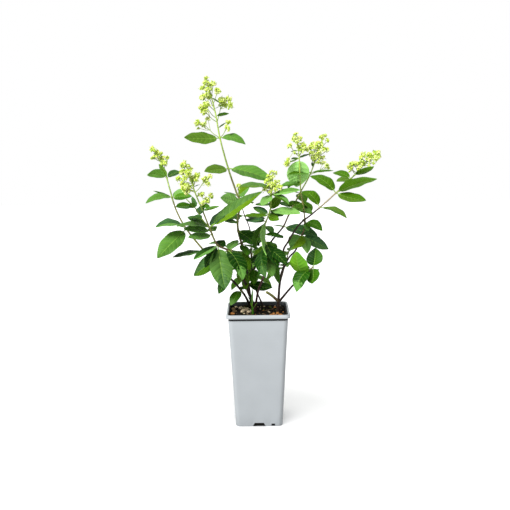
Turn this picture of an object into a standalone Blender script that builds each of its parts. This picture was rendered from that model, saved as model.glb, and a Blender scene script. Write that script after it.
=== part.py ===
"""A young panicle hydrangea in bud, growing in a tall square nursery pot.

Metres, +Z up. The origin is the middle of the pot's flat underside, the pot's front looks along -Y.
The pot, the soil, each bare stem and each mass of leaves is one closed solid of its own.
"""
import math

import bmesh
import bpy
import numpy as np
from mathutils import Matrix, Vector
from mathutils.bvhtree import BVHTree

# Driving sizes of the pot
POT_HEIGHT = 0.240
RIM_HALF = 0.065
RIM_BAND = 0.0075
RIM_CHAMFER = 0.001
UNDER_RIM = POT_HEIGHT - RIM_BAND
RIM_INNER_HALF = 0.0605
BODY_TOP_HALF = 0.0609
BODY_FOOT_HALF = 0.0487
CORNER_RADIUS = 0.010
WALL = 0.0020
FLOOR = 0.0030
FOOT_CHAMFER = 0.0012
NOTCH_WIDTH = 0.026
NOTCH_TOP_WIDTH = 0.019
NOTCH_HEIGHT = 0.0077
NOTCH_DEPTH = 0.009
NOTCH_STRAIGHT = 0.001
SLOT_OFFSET = 0.029
SLOT_WIDTH = 0.0075
SLOT_HEIGHT = 0.003
SLOT_LEVEL = 0.0045
CUTTER_MARGIN = 0.010
CORNER_STEPS = 4

# Driving sizes of the plant
SOIL_LEVEL = 0.231
SOIL_ROUGHNESS = 0.0025
SOIL_RINGS = (0.80, 0.58, 0.36, 0.16)
SOIL_SIDE_POINTS = 5
SOIL_FLAT_ROUND_STEM = 0.020
CLEARANCE = 0.0003
LEAF_MARGIN = 0.00045
SAME_POINT = 0.000001
LEAF_WIDTH = 0.50
LEAF_ARCH = 0.07
LEAF_FOLD = 0.16
LEAF_THICKNESS = 0.017
PETIOLE_SHARE = 0.12
FOOT_FLARE = 1.3
SEED = 11

# Stems: points of the centre line, radius at foot and tip, and the share of the length that is bare.
# A limb with "from" starts on the stem named there, at that share of it.
STEMS = {
    "far_left": {
        "line": [(-0.015, 0.052, 0.231), (-0.031, 0.032, 0.266), (-0.056, 0.020, 0.299),
                 (-0.082, 0.010, 0.328), (-0.110, 0.000, 0.363), (-0.144, -0.004, 0.408),
                 (-0.165, 0.000, 0.448), (-0.178, 0.008, 0.492), (-0.190, 0.018, 0.532),
                 (-0.216, 0.028, 0.578)],
        "foot": 0.0022, "tip": 0.0009, "bare": 0.345},
    "left": {
        "line": [(-0.005, 0.030, 0.231), (-0.025, 0.012, 0.289), (-0.044, -0.018, 0.337),
                 (-0.058, -0.028, 0.366), (-0.080, -0.038, 0.380), (-0.094, -0.045, 0.414),
                 (-0.108, -0.050, 0.453), (-0.120, -0.055, 0.485), (-0.138, -0.060, 0.545)],
        "foot": 0.0023, "tip": 0.0009, "bare": 0.385},
    "tall": {
        "line": [(-0.013, 0.044, 0.231), (-0.020, 0.038, 0.288), (-0.027, 0.028, 0.351),
                 (-0.038, 0.022, 0.394), (-0.040, 0.020, 0.423), (-0.034, 0.020, 0.459),
                 (-0.042, 0.020, 0.482), (-0.057, 0.020, 0.528), (-0.073, 0.020, 0.590),
                 (-0.082, 0.020, 0.644), (-0.099, 0.020, 0.713)],
        "foot": 0.0024, "tip": 0.0010, "bare": 0.14},
    "centre": {
        "line": [(-0.006, 0.010, 0.231), (0.000, -0.008, 0.275), (0.012, -0.020, 0.310),
                 (0.020, -0.030, 0.342), (0.015, -0.038, 0.388), (0.015, -0.042, 0.416),
                 (0.026, -0.046, 0.448), (0.029, -0.049, 0.482), (0.033, -0.050, 0.526)],
        "foot": 0.0021, "tip": 0.0009, "bare": 0.360},
    "back_right": {
        "line": [(-0.006, 0.056, 0.231), (-0.023, 0.048, 0.271), (-0.020, 0.046, 0.294),
                 (-0.007, 0.045, 0.316), (0.012, 0.048, 0.345), (0.033, 0.051, 0.377),
                 (0.056, 0.055, 0.404), (0.068, 0.055, 0.429), (0.093, 0.055, 0.477),
                 (0.116, 0.060, 0.519), (0.144, 0.065, 0.596)],
        "foot": 0.0022, "tip": 0.0009, "bare": 0.125},
    "back_middle": {
        "line": [(0.012, 0.054, 0.231), (-0.006, 0.062, 0.275), (-0.013, 0.068, 0.327),
                 (-0.014, 0.066, 0.392), (-0.027, 0.060, 0.432), (-0.035, 0.052, 0.465),
                 (-0.037, 0.045, 0.491)],
        "foot": 0.0016, "tip": 0.0007, "bare": 0.42},
    "right_trunk": {
        "line": [(0.043, 0.004, 0.231), (0.043, -0.002, 0.246), (0.043, -0.006, 0.259)],
        "foot": 0.0034, "tip": 0.0029, "bare": 1.0},
    "right_middle": {
        "line": [(0.045, -0.010, 0.289), (0.049, -0.010, 0.313), (0.055, -0.010, 0.330)],
        "foot": 0.0023, "tip": 0.0021, "bare": 1.0, "from": ("right_trunk", 1.0)},
    "far_right": {
        "line": [(0.053, -0.020, 0.363), (0.062, -0.026, 0.382), (0.084, -0.031, 0.417),
                 (0.111, -0.036, 0.440), (0.141, -0.045, 0.467), (0.185, -0.055, 0.510),
                 (0.212, -0.060, 0.539), (0.238, -0.065, 0.560)],
        "foot": 0.0018, "tip": 0.0009, "bare": 0.340, "from": ("right_middle", 1.0)},
    "upper_right": {
        "line": [(0.065, 0.002, 0.345), (0.080, 0.011, 0.360), (0.092, 0.017, 0.387),
                 (0.100, 0.022, 0.409), (0.098, 0.027, 0.444), (0.092, 0.030, 0.482),
                 (0.089, 0.030, 0.550), (0.082, 0.030, 0.600)],
        "foot": 0.0017, "tip": 0.0008, "bare": 0.235, "from": ("right_middle", 0.86)},
    "low_right": {
        "line": [(0.072, -0.030, 0.294), (0.095, -0.042, 0.317), (0.113, -0.048, 0.336)],
        "foot": 0.0022, "tip": 0.0012, "bare": 0.72, "from": ("right_trunk", 0.78)},
    "broken_stub": {
        "line": [(0.030, -0.015, 0.269), (0.018, -0.024, 0.279)],
        "foot": 0.0021, "tip": 0.0017, "bare": 1.0, "from": ("right_trunk", 0.85)},
}

# Masses: leaves as (share of the stem, heading, rise, length, roll), degrees and metres.
# A heading of 0 is +X and 90 is +Y. The width share of the length may follow as a sixth value.
LEAVES = {
    "left": [
        (0.51, -75, -60, 0.092, -5), (0.44, -60, -40, 0.080, -5, 0.52), (0.44, 65, 20, 0.046, 0),
        (0.51, 85, 10, 0.045, 10), (0.51, 160, -30, 0.062, 25, 0.45), (0.51, 165, -50, 0.082, -30),
        (0.62, -5, 35, 0.122, -25, 0.30), (0.62, -145, 10, 0.076, 40), (0.58, -130, 0, 0.062, 15),
        (0.62, 75, -15, 0.040, 30), (0.62, 45, 35, 0.062, 0), (0.72, 30, 10, 0.038, 0, 0.25),
        (0.72, 115, 20, 0.030, -10)],
    "far_left": [
        (0.41, -170, -10, 0.066, -30), (0.55, -140, -35, 0.088, 20), (0.55, 160, 0, 0.072, 20),
        (0.72, -150, -10, 0.058, 20), (0.72, 155, 15, 0.045, 0), (0.72, -35, 5, 0.050, 35),
        (0.72, 60, 20, 0.045, -10), (0.82, -145, 10, 0.046, -50), (0.82, 145, 45, 0.030, 10),
        (0.82, 45, 15, 0.038, -35), (0.41, 40, -25, 0.055, 0)],
    "centre": [
        (0.54, -60, -50, 0.066, 5, 0.52), (0.52, -70, -50, 0.078, 30), (0.50, -90, -45, 0.074, -50),
        (0.64, -85, -50, 0.068, 65, 0.30), (0.44, 20, -25, 0.052, 60, 0.58), (0.44, 60, 35, 0.044, 5),
        (0.39, -60, -40, 0.056, 15, 0.45), (0.64, 115, -55, 0.056, 25), (0.63, 60, -5, 0.034, -50, 0.55),
        (0.75, -35, 0, 0.072, -20), (0.75, 130, 5, 0.050, 20), (0.73, 55, -15, 0.046, 30),
        (0.72, 145, -5, 0.056, -25, 0.45), (0.67, 140, 0, 0.052, 15, 0.45), (0.75, 50, 35, 0.042, -10),
        (0.85, 20, 10, 0.060, -10, 0.38), (0.85, -45, -20, 0.050, -5), (0.85, -125, -25, 0.040, 15),
        (0.78, 150, 28, 0.076, 0, 0.32)],
    "tall": [
        (0.35, -35, -25, 0.060, -25, 0.52), (0.29, -60, -20, 0.040, -20, 0.55),
        (0.26, -75, -45, 0.046, 20, 0.45), (0.37, 130, 20, 0.042, 25), (0.47, -140, 20, 0.052, -45, 0.58),
        (0.50, -50, 25, 0.042, 10), (0.50, 135, 10, 0.045, -5, 0.3), (0.16, -110, -55, 0.040, 0, 0.55),
        (0.39, 60, -10, 0.055, 0), (0.35, 130, -20, 0.060, 10), (0.47, 60, 10, 0.050, 0)],
    "tall_top": [
        (0.62, -150, -5, 0.055, -45), (0.62, -15, -15, 0.088, -30), (0.75, -155, 0, 0.076, 40),
        (0.75, 20, -10, 0.056, 30)],
    "back_right": [
        (0.49, 130, 0, 0.032, 10, 0.3), (0.49, -38, -14, 0.076, -20), (0.43, -65, 0, 0.035, -10),
        (0.43, 120, 10, 0.035, 30), (0.80, -165, -5, 0.050, 15, 0.3), (0.80, -5, 5, 0.046, -15, 0.3),
        (0.23, -75, -60, 0.034, 0, 0.62), (0.14, -5, -10, 0.057, -40), (0.23, 150, 0, 0.045, 0),
        (0.68, 70, -15, 0.052, 20), (0.60, 100, -10, 0.062, 0), (0.56, 40, -25, 0.060, 0),
        (0.68, 160, 0, 0.048, 0), (0.33, 100, -15, 0.060, 0)],
    "upper_right": [
        (0.83, -100, -65, 0.062, 5, 0.72), (0.83, 120, -5, 0.030, -20, 0.35),
        (0.83, 40, 15, 0.032, -10, 0.35), (0.65, -155, -5, 0.046, 25), (0.26, -40, -20, 0.070, -30, 0.52),
        (0.27, -125, -30, 0.048, 5, 0.80), (0.29, -75, -55, 0.044, 5, 0.60),
        (0.38, -40, -25, 0.046, -40, 0.52), (0.47, -70, -15, 0.040, -20), (0.48, -130, 10, 0.038, -40),
        (0.53, 55, -30, 0.050, 55), (0.52, 125, -10, 0.050, -30), (0.39, -115, -30, 0.024, -15),
        (0.37, 70, -10, 0.055, 0), (0.65, 80, 5, 0.046, 0)],
    "far_right": [
        (0.49, -45, -15, 0.066, -10), (0.49, 135, 35, 0.056, 25, 0.55), (0.63, 145, 30, 0.066, 20),
        (0.63, 10, 20, 0.086, -25), (0.63, -35, -10, 0.066, 45), (0.76, 145, 15, 0.042, 30),
        (0.76, -150, -10, 0.038, 25), (0.79, -35, 20, 0.044, 30), (0.63, 95, -10, 0.055, 0)],
    "low_right": [
        (0.97, 95, 45, 0.046, -20, 0.75), (0.88, -160, 45, 0.056, -60, 0.72),
        (0.90, -130, -35, 0.062, 5, 0.60), (0.98, -85, -55, 0.040, -10, 0.80),
        (0.97, 30, 20, 0.050, 0), (0.92, 60, -15, 0.055, 0)],
    "back_middle": [
        (0.89, 5, 38, 0.052, 30, 0.35), (0.62, 60, -10, 0.060, 0), (0.62, -160, -10, 0.052, 10),
        (0.75, 130, 5, 0.055, 10), (0.75, -10, -5, 0.045, -15), (0.89, 150, 0, 0.040, 0),
        (0.48, 110, -20, 0.065, 0), (0.48, 10, -20, 0.050, 0)],
    "low_left": [
        (0.95, -157, -52, 0.038, 10, 0.62), (0.95, 140, 10, 0.034, 0)],
    "under_left": [
        (0.95, -112, -50, 0.048, 0, 0.58), (0.60, 150, -30, 0.048, 0)],
    "back_left": [
        (0.45, 170, -15, 0.060, 0), (0.45, 60, -15, 0.060, 0), (0.75, 120, 10, 0.065, 0),
        (0.75, -150, 0, 0.055, 0), (0.98, 90, -10, 0.060, 0), (0.98, 30, 10, 0.055, 0),
        (0.98, 160, 15, 0.055, 0)],
    "back_centre": [
        (0.40, 20, -20, 0.060, 0), (0.40, 150, -15, 0.060, 0), (0.70, 90, -5, 0.068, 0),
        (0.70, -10, 0, 0.052, 0), (0.98, 60, 5, 0.060, 0), (0.98, 140, -5, 0.062, 0),
        (0.98, 10, 20, 0.050, 0)],
    "back_low_right": [
        (0.50, 0, -20, 0.058, 0), (0.50, 110, -20, 0.058, 0), (0.95, 60, -5, 0.064, 0),
        (0.95, 120, 10, 0.055, 0), (0.95, -15, 10, 0.050, 0)],
}

# Short side twigs that carry a mass of their own: host stem, share of it, heading, rise, length.
SPRIGS = {
    "low_left": ("far_left", 0.100, -110, 35, 0.018),
    "under_left": ("far_left", 0.250, -90, 5, 0.018),
    "back_left": ("tall", 0.110, 125, 45, 0.095),
    "back_centre": ("back_right", 0.095, 82, 42, 0.105),
    "back_low_right": ("right_middle", 0.450, 72, 38, 0.100),
}
SPRIG_RADIUS = 0.0013
TWIG_TAPER = 0.8
FORK_STEP = 0.0002
FORK_REACH = 0.030
TALL_SPLIT = 0.53
HEAD_SHARE = 0.985

# The side shoot of the left stem, fused in its mass: centre line and leaves.
SPUR_LINE = [(-0.094, -0.045, 0.414), (-0.108, -0.056, 0.434), (-0.119, -0.060, 0.454),
             (-0.137, -0.064, 0.474)]
SPUR_LEAVES = [
    (0.77, -135, 0, 0.040, 30), (0.32, 140, 5, 0.042, 15), (0.32, -120, 5, 0.045, -30),
    (0.68, -105, 35, 0.040, 30), (0.68, -70, -15, 0.030, 0)]
SPUR_RADIUS = 0.0010

# Flower heads in bud: share of the stem where the head starts, side reach, tiers, first heading.
PANICLES = {
    "tall_top": (0.800, 0.042, 7, -10),
    "far_left": (0.880, 0.015, 4, 10),
    "left": (0.770, 0.031, 6, 0),
    "centre": (0.870, 0.018, 4, 20),
    "back_right": (0.820, 0.026, 5, 0),
    "upper_right": (0.840, 0.029, 4, 10),
    "far_right": (0.840, 0.019, 5, 50),
    "back_middle": (0.950, 0.006, 2, 0),
}
PANICLE_TOP = 0.97
PANICLE_TAPER = 0.75
BRANCH_RADIUS = 0.0007
BRANCH_JITTER = 18
SHORT_BRANCH = 0.012
TUFT_RADIUS = 0.0056
# Tufts of buds on a side branch: share of its length, size as a share of the largest.
INNER_TUFT = (0.55, 0.75)
END_TUFT = (0.97, 1.00)

COLOURS = {
    "pot": ((0.53, 0.57, 0.60), 0.42),
    "soil": ((0.035, 0.024, 0.016), 0.95),
    "bark": ((0.075, 0.040, 0.025), 0.65),
    "foliage": ((0.060, 0.180, 0.035), 0.50),
}
STEM_SIDES = 7
TWIG_SIDES = 5
BRANCH_SIDES = 3
RING_SPACING = 0.014


# Scene and material helpers
def clear_scene():
    for obj in list(bpy.data.objects):
        bpy.data.objects.remove(obj, do_unlink=True)


def make_material(name):
    colour, roughness = COLOURS[name]
    material = bpy.data.materials.new(name)
    material.use_nodes = True
    shader = material.node_tree.nodes["Principled BSDF"]
    shader.inputs["Base Color"].default_value = (*colour, 1.0)
    shader.inputs["Roughness"].default_value = roughness
    shader.inputs["Metallic"].default_value = 0.0
    return material


def add_object(name, points, faces, material=None, smooth=False):
    mesh = bpy.data.meshes.new(name)
    mesh.from_pydata([tuple(p) for p in points], [], faces)
    mesh.update()
    obj = bpy.data.objects.new(name, mesh)
    bpy.context.scene.collection.objects.link(obj)
    if material is not None:
        mesh.materials.append(material)
    if smooth:
        mesh.shade_smooth()
        mesh.set_sharp_from_angle(angle=math.radians(50))
    return obj


# Shapes as (points, faces)
def smooth_line(points, count_per_span=10):
    """Points of a Catmull-Rom curve through the given ones."""
    knots = [np.array(p, float) for p in points]
    line = []
    for i in range(len(knots) - 1):
        before = knots[max(i - 1, 0)]
        a = knots[i]
        b = knots[i + 1]
        after = knots[min(i + 2, len(knots) - 1)]
        for k in range(count_per_span):
            t = k / count_per_span
            line.append(0.5 * (2 * a + (b - before) * t
                               + (2 * before - 5 * a + 4 * b - after) * t * t
                               + (3 * a - before - 3 * b + after) * t ** 3))
    line.append(knots[-1])
    return np.array(line)


class Limb:
    """A tapering centre line that can be read at any share of its length."""

    def __init__(self, points, foot, tip):
        self.line = smooth_line(points)
        steps = np.linalg.norm(np.diff(self.line, axis=0), axis=1)
        run = np.concatenate([[0.0], np.cumsum(steps)])
        self.length = run[-1]
        self.share = run / run[-1]
        self.foot = foot
        self.tip = tip

    def at(self, share):
        return np.array([np.interp(share, self.share, self.line[:, k]) for k in range(3)])

    def radius(self, share):
        return self.foot + (self.tip - self.foot) * share

    def direction(self, share):
        reach = 0.01
        ahead = self.at(min(share + reach, 1.0)) - self.at(max(share - reach, 0.0))
        return ahead / np.linalg.norm(ahead)


def tube(limb, start, end, sides, flare=1.0, grow=0.0):
    """A tapering tube along the limb between two shares, closed at both ends."""
    rings = max(3, int(math.ceil((end - start) * limb.length / RING_SPACING)) + 1)
    shares = np.linspace(start, end, rings)
    points = []
    side = None
    for i, share in enumerate(shares):
        along = Vector(limb.direction(share))
        if side is None:
            side = along.orthogonal().normalized()
            if flare > 1.0:
                along = Vector((0.0, 0.0, 1.0))
                side = Vector((1.0, 0.0, 0.0))
        side = (side - along * side.dot(along)).normalized()
        other = along.cross(side)
        radius = limb.radius(share) * (flare if i == 0 else 1.0) + grow
        centre = Vector(limb.at(share))
        for k in range(sides):
            turn = 2 * math.pi * k / sides
            points.append(centre + side * (radius * math.cos(turn)) + other * (radius * math.sin(turn)))
    faces = [tuple(reversed(range(sides)))]
    for i in range(rings - 1):
        low = i * sides
        for k in range(sides):
            nxt = (k + 1) % sides
            faces.append((low + k, low + nxt, low + sides + nxt, low + sides + k))
    faces.append(tuple(range((rings - 1) * sides, rings * sides)))
    return points, faces


def heading_vector(heading, rise):
    flat = math.cos(math.radians(rise))
    return Vector((flat * math.cos(math.radians(heading)), flat * math.sin(math.radians(heading)),
                   math.sin(math.radians(rise))))


# Stations of a leaf: share of its length and half width as a share of the widest.
BLADE = [(PETIOLE_SHARE, 0.07), (0.30, 0.78), (0.54, 1.00), (0.80, 0.58)]


def leaf(root, heading, rise, length, roll, width=LEAF_WIDTH, grow=0.0):
    """A pointed blade on a short stalk: folded along its midrib and arched along its length."""
    along = heading_vector(heading, rise)
    side = Vector((-along.y, along.x, 0.0)).normalized()
    normal = along.cross(side)
    if normal.z < 0:
        normal = -normal
    turn = math.radians(roll)
    up = normal * math.cos(turn) + side * math.sin(turn)
    across = side * math.cos(turn) - normal * math.sin(turn)
    half = length * width / 2 + grow
    thick = length * LEAF_THICKNESS / 2 + grow
    root = Vector(root)
    points = [root.copy()]
    for share, spread in BLADE:
        middle = root + along * (length * share)
        middle += up * (LEAF_ARCH * length * 4 * share * (1 - share))
        edge = half * spread
        lift = up * (LEAF_FOLD * edge)
        points += [middle + across * edge + lift, middle + up * thick,
                   middle - across * edge + lift, middle - up * thick]
    points.append(root + along * (length + grow))
    faces = []
    for k in range(4):
        faces.append((0, 1 + (k + 1) % 4, 1 + k))
    for station in range(len(BLADE) - 1):
        low = 1 + station * 4
        for k in range(4):
            nxt = (k + 1) % 4
            faces.append((low + k, low + nxt, low + 4 + nxt))
            faces.append((low + k, low + 4 + nxt, low + 4 + k))
    low = 1 + (len(BLADE) - 1) * 4
    for k in range(4):
        faces.append((low + k, low + (k + 1) % 4, len(points) - 1))
    return points, faces


def knot(centre, radius, rng):
    """A faceted ball that stands for a tuft of buds."""
    turn = Matrix.Rotation(rng.uniform(0, math.pi), 3, Vector(rng.normal(size=3)).normalized())
    ends = [Vector((1, 0, 0)), Vector((0, 1, 0)), Vector((-1, 0, 0)), Vector((0, -1, 0)),
            Vector((0, 0, 1)), Vector((0, 0, -1))]
    points = [Vector(centre) + turn @ (e * radius) for e in ends]
    faces = []
    for k in range(4):
        faces.append((k, (k + 1) % 4, 4))
        faces.append(((k + 1) % 4, k, 5))
    return points, faces


def facing_out(points, faces):
    """The same shape with its faces turned outwards."""
    volume = 0.0
    for face in faces:
        for k in range(1, len(face) - 1):
            a, b, c = points[face[0]], points[face[k]], points[face[k + 1]]
            volume += a.dot(b.cross(c))
    if volume < 0:
        faces = [tuple(reversed(face)) for face in faces]
    return points, faces


# Foliage
class Crown:
    """Keeps what stands already, so that a leaf that would touch another node is turned or left out."""

    def __init__(self):
        self.trees = {}

    def add(self, owner, points, faces):
        self.trees.setdefault(owner, []).append(BVHTree.FromPolygons(points, faces))

    def free(self, owner, points, faces):
        tree = BVHTree.FromPolygons(points, faces)
        for other, trees in self.trees.items():
            if other != owner and any(tree.overlap(t) for t in trees):
                return False
        return True


# Turns and lifts tried in degrees, first at full size and then smaller.
LEAF_SIZES = (1.0, 0.8)
NUDGES = [(0, 0), (0, 8), (0, -8), (8, 0), (-8, 0), (12, 10), (-12, 10), (12, -10), (-12, -10),
          (22, 0), (-22, 0), (0, 20), (0, -20), (30, 15), (-30, 15), (30, -15), (-30, -15)]


def clear_leaf(crown, owner, limb, row):
    """The leaf of one row of the table, nudged until it is clear of every other node."""
    share, heading, rise, length, roll = row[:5]
    width = row[5] if len(row) > 5 else LEAF_WIDTH
    root = limb.at(share)
    for shrink in LEAF_SIZES:
        for turn, lift in NUDGES:
            pose = (root, heading + turn, rise + lift, length * shrink, roll, width)
            if crown.free(owner, *leaf(*pose, grow=LEAF_MARGIN)):
                return leaf(*pose)
    return None


def side_twig(root, way, length, radius):
    limb = Limb([tuple(root), tuple(root + way * length)], radius, radius * TWIG_TAPER)
    return tube(limb, 0.0, 1.0, BRANCH_SIDES)


def panicle(limb, start, reach, tiers, first, rng):
    """Opposite side branches in tiers that get shorter upwards, each with tufts of buds."""
    shapes = []
    for tier in range(tiers):
        up = tier / tiers
        share = start + (PANICLE_TOP - start) * up
        long = reach * (1.0 - PANICLE_TAPER * up) * rng.uniform(0.85, 1.1)
        along = Vector(limb.direction(share))
        for half_turn in (0, 180):
            jitter = rng.uniform(-BRANCH_JITTER, BRANCH_JITTER)
            flat = heading_vector(first + tier * 90 + half_turn + jitter, 0)
            way = (flat * 0.85 + along * (0.5 + 0.4 * up)).normalized()
            root = Vector(limb.at(share))
            shapes.append(side_twig(root, way, long, BRANCH_RADIUS))
            tufts = [END_TUFT] if long < SHORT_BRANCH else [INNER_TUFT, END_TUFT]
            for place, size in tufts:
                centre = root + way * (long * place)
                shapes.append(knot(centre, TUFT_RADIUS * size * rng.uniform(0.85, 1.15), rng))
    shapes.append(knot(limb.at(HEAD_SHARE), TUFT_RADIUS, rng))
    return shapes


def join(name, base, others, material):
    """One solid: the base with every other shape united to it."""
    body = add_object(name, *facing_out(*base), material)
    tools = bpy.data.collections.new(name + "_parts")
    bpy.context.scene.collection.children.link(tools)
    for i, shape in enumerate(others):
        piece = add_object("%s_part_%d" % (name, i), *facing_out(*shape))
        bpy.context.scene.collection.objects.unlink(piece)
        tools.objects.link(piece)
    union = body.modifiers.new("union", "BOOLEAN")
    union.operation = "UNION"
    union.operand_type = "COLLECTION"
    union.collection = tools
    union.solver = "EXACT"
    bpy.context.view_layer.update()
    seen = body.evaluated_get(bpy.context.evaluated_depsgraph_get())
    united = bpy.data.meshes.new_from_object(seen)
    body.modifiers.remove(union)
    old = body.data
    body.data = united
    bpy.data.meshes.remove(old)
    for piece in list(tools.objects):
        bpy.data.objects.remove(piece, do_unlink=True)
    bpy.data.collections.remove(tools)
    keep_largest(body)
    body.data.materials.clear()
    body.data.materials.append(material)
    return body


def keep_largest(obj):
    """Drops loose scraps, merges near points and leaves triangles only."""
    mesh = bmesh.new()
    mesh.from_mesh(obj.data)
    bmesh.ops.remove_doubles(mesh, verts=mesh.verts, dist=SAME_POINT)
    groups = []
    seen = set()
    for vert in mesh.verts:
        if vert in seen:
            continue
        stack = [vert]
        seen.add(vert)
        group = []
        while stack:
            current = stack.pop()
            group.append(current)
            for edge in current.link_edges:
                other = edge.other_vert(current)
                if other not in seen:
                    seen.add(other)
                    stack.append(other)
        groups.append(group)
    groups.sort(key=len, reverse=True)
    for group in groups[1:]:
        bmesh.ops.delete(mesh, geom=group, context="VERTS")
    bmesh.ops.triangulate(mesh, faces=mesh.faces)
    mesh.to_mesh(obj.data)
    mesh.free()


# Pot and soil
def rounded_square(half, radius, height, side_points=0):
    """A ring of points: the arc of each corner, then the points of the side that follows it."""
    flat = half - radius
    points = []
    for corner in range(4):
        turn = Matrix.Rotation(corner * math.pi / 2, 3, "Z")
        for k in range(CORNER_STEPS + 1):
            bend = k * math.pi / 2 / CORNER_STEPS
            points.append(turn @ Vector((flat + radius * math.cos(bend), flat + radius * math.sin(bend), height)))
        for k in range(side_points):
            place = 1 - 2 * (k + 1) / (side_points + 1)
            points.append(turn @ Vector((flat * place, half, height)))
    return points


def stack_rings(rings):
    """Faces between rings of equal size, with a cap on the first and the last ring."""
    count = len(rings[0])
    points = [p for ring in rings for p in ring]
    faces = [tuple(reversed(range(count)))]
    for i in range(len(rings) - 1):
        low = i * count
        for k in range(count):
            nxt = (k + 1) % count
            faces.append((low + k, low + nxt, low + count + nxt, low + count + k))
    faces.append(tuple(range((len(rings) - 1) * count, len(rings) * count)))
    return points, faces


def body_half(height):
    """Half the width of the pot's outside at a height under the rim."""
    return BODY_FOOT_HALF + (BODY_TOP_HALF - BODY_FOOT_HALF) * height / UNDER_RIM


def make_pot(material):
    outside = [
        (BODY_FOOT_HALF - FOOT_CHAMFER, 0.0), (body_half(FOOT_CHAMFER), FOOT_CHAMFER),
        (body_half(UNDER_RIM), UNDER_RIM), (RIM_HALF, UNDER_RIM), (RIM_HALF, POT_HEIGHT - RIM_CHAMFER),
        (RIM_HALF - RIM_CHAMFER, POT_HEIGHT)]
    inside = [
        (RIM_INNER_HALF, POT_HEIGHT), (body_half(UNDER_RIM) - WALL, UNDER_RIM),
        (BODY_FOOT_HALF - WALL, FLOOR)]
    rings = [rounded_square(half, CORNER_RADIUS, height) for half, height in outside]
    rings += [rounded_square(half, CORNER_RADIUS - WALL, height) for half, height in inside]
    pot = add_object("pot", *stack_rings(rings), material)
    cutters = []
    for quarter in range(4):
        turn = Matrix.Rotation(quarter * math.pi / 2, 4, "Z")
        cutters.append(notch_cutter(quarter, turn))
        cutters.append(slot_cutter(quarter, turn))
    for cutter in cutters:
        cut = pot.modifiers.new(cutter.name, "BOOLEAN")
        cut.operation = "DIFFERENCE"
        cut.object = cutter
        cut.solver = "EXACT"
    pot.data.shade_smooth()
    pot.data.set_sharp_from_angle(angle=math.radians(35))
    return pot


def as_cutter(name, points, faces, turn):
    cutter = add_object(name, *facing_out([turn @ p for p in points], faces))
    cutter.hide_render = True
    cutter.display_type = "WIRE"
    return cutter


def notch_cutter(index, turn):
    """The drain notch in the middle of each side, narrower at its top."""
    outer = -BODY_FOOT_HALF - CUTTER_MARGIN
    inner = -BODY_FOOT_HALF + NOTCH_DEPTH
    points = []
    for y in (outer, inner):
        for half, z in ((NOTCH_WIDTH / 2, -CUTTER_MARGIN), (NOTCH_WIDTH / 2, NOTCH_STRAIGHT)):
            points.append(Vector((half, y, z)))
        points += [Vector((NOTCH_TOP_WIDTH / 2, y, NOTCH_HEIGHT)),
                   Vector((-NOTCH_TOP_WIDTH / 2, y, NOTCH_HEIGHT))]
        for half, z in ((-NOTCH_WIDTH / 2, NOTCH_STRAIGHT), (-NOTCH_WIDTH / 2, -CUTTER_MARGIN)):
            points.append(Vector((half, y, z)))
    faces = [tuple(range(6)), tuple(reversed(range(6, 12)))]
    faces += [(k, 6 + k, 6 + (k + 1) % 6, (k + 1) % 6) for k in range(6)]
    return as_cutter("notch_cutter_%d" % index, points, faces, turn)


def slot_cutter(index, turn):
    """The small drain slot beside the notch, through the wall."""
    points = []
    for y in (-BODY_FOOT_HALF - CUTTER_MARGIN, -BODY_FOOT_HALF + 2 * WALL):
        for x, z in ((-1, 0), (1, 0), (1, 1), (-1, 1)):
            points.append(Vector((SLOT_OFFSET + x * SLOT_WIDTH / 2, y, SLOT_LEVEL + z * SLOT_HEIGHT)))
    faces = [(0, 1, 2, 3), (7, 6, 5, 4)] + [(k, 4 + k, 4 + (k + 1) % 4, (k + 1) % 4) for k in range(4)]
    return as_cutter("slot_cutter_%d" % index, points, faces, turn)


def make_soil(material, feet, rng):
    """The potting soil: fills the pot to just under its rim, a little uneven but flat round each stem."""
    def inner(height):
        floor_half = BODY_FOOT_HALF - WALL
        top_half = body_half(UNDER_RIM) - WALL
        return floor_half + (top_half - floor_half) * (height - FLOOR) / (UNDER_RIM - FLOOR) - CLEARANCE

    low = FLOOR + CLEARANCE
    radius = CORNER_RADIUS - WALL
    outline = rounded_square(inner(SOIL_LEVEL), radius, SOIL_LEVEL, SOIL_SIDE_POINTS)
    rings = [rounded_square(inner(low), radius, low, SOIL_SIDE_POINTS), outline]
    for share in SOIL_RINGS:
        rings.append([Vector((p.x * share, p.y * share, SOIL_LEVEL)) for p in outline])
    for ring in rings[1:]:
        for p in ring:
            near = min(math.hypot(p.x - x, p.y - y) for x, y in feet)
            if near > SOIL_FLAT_ROUND_STEM:
                p.z -= SOIL_ROUGHNESS * rng.uniform(0.0, 1.0)
    return add_object("soil", *stack_rings(rings), material, smooth=True)


# Assembly
def fork_start(crown, limb, end, sides):
    """The share of a side limb at which its end is just clear of the limb it leaves."""
    back = CLEARANCE / limb.length
    for start in np.arange(FORK_STEP, FORK_REACH, FORK_STEP) / limb.length:
        grown = tube(limb, max(start - back, 0.0), end, sides, grow=CLEARANCE)
        if crown.free(None, *grown):
            return start
    raise ValueError("a side limb crosses another limb")


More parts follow.
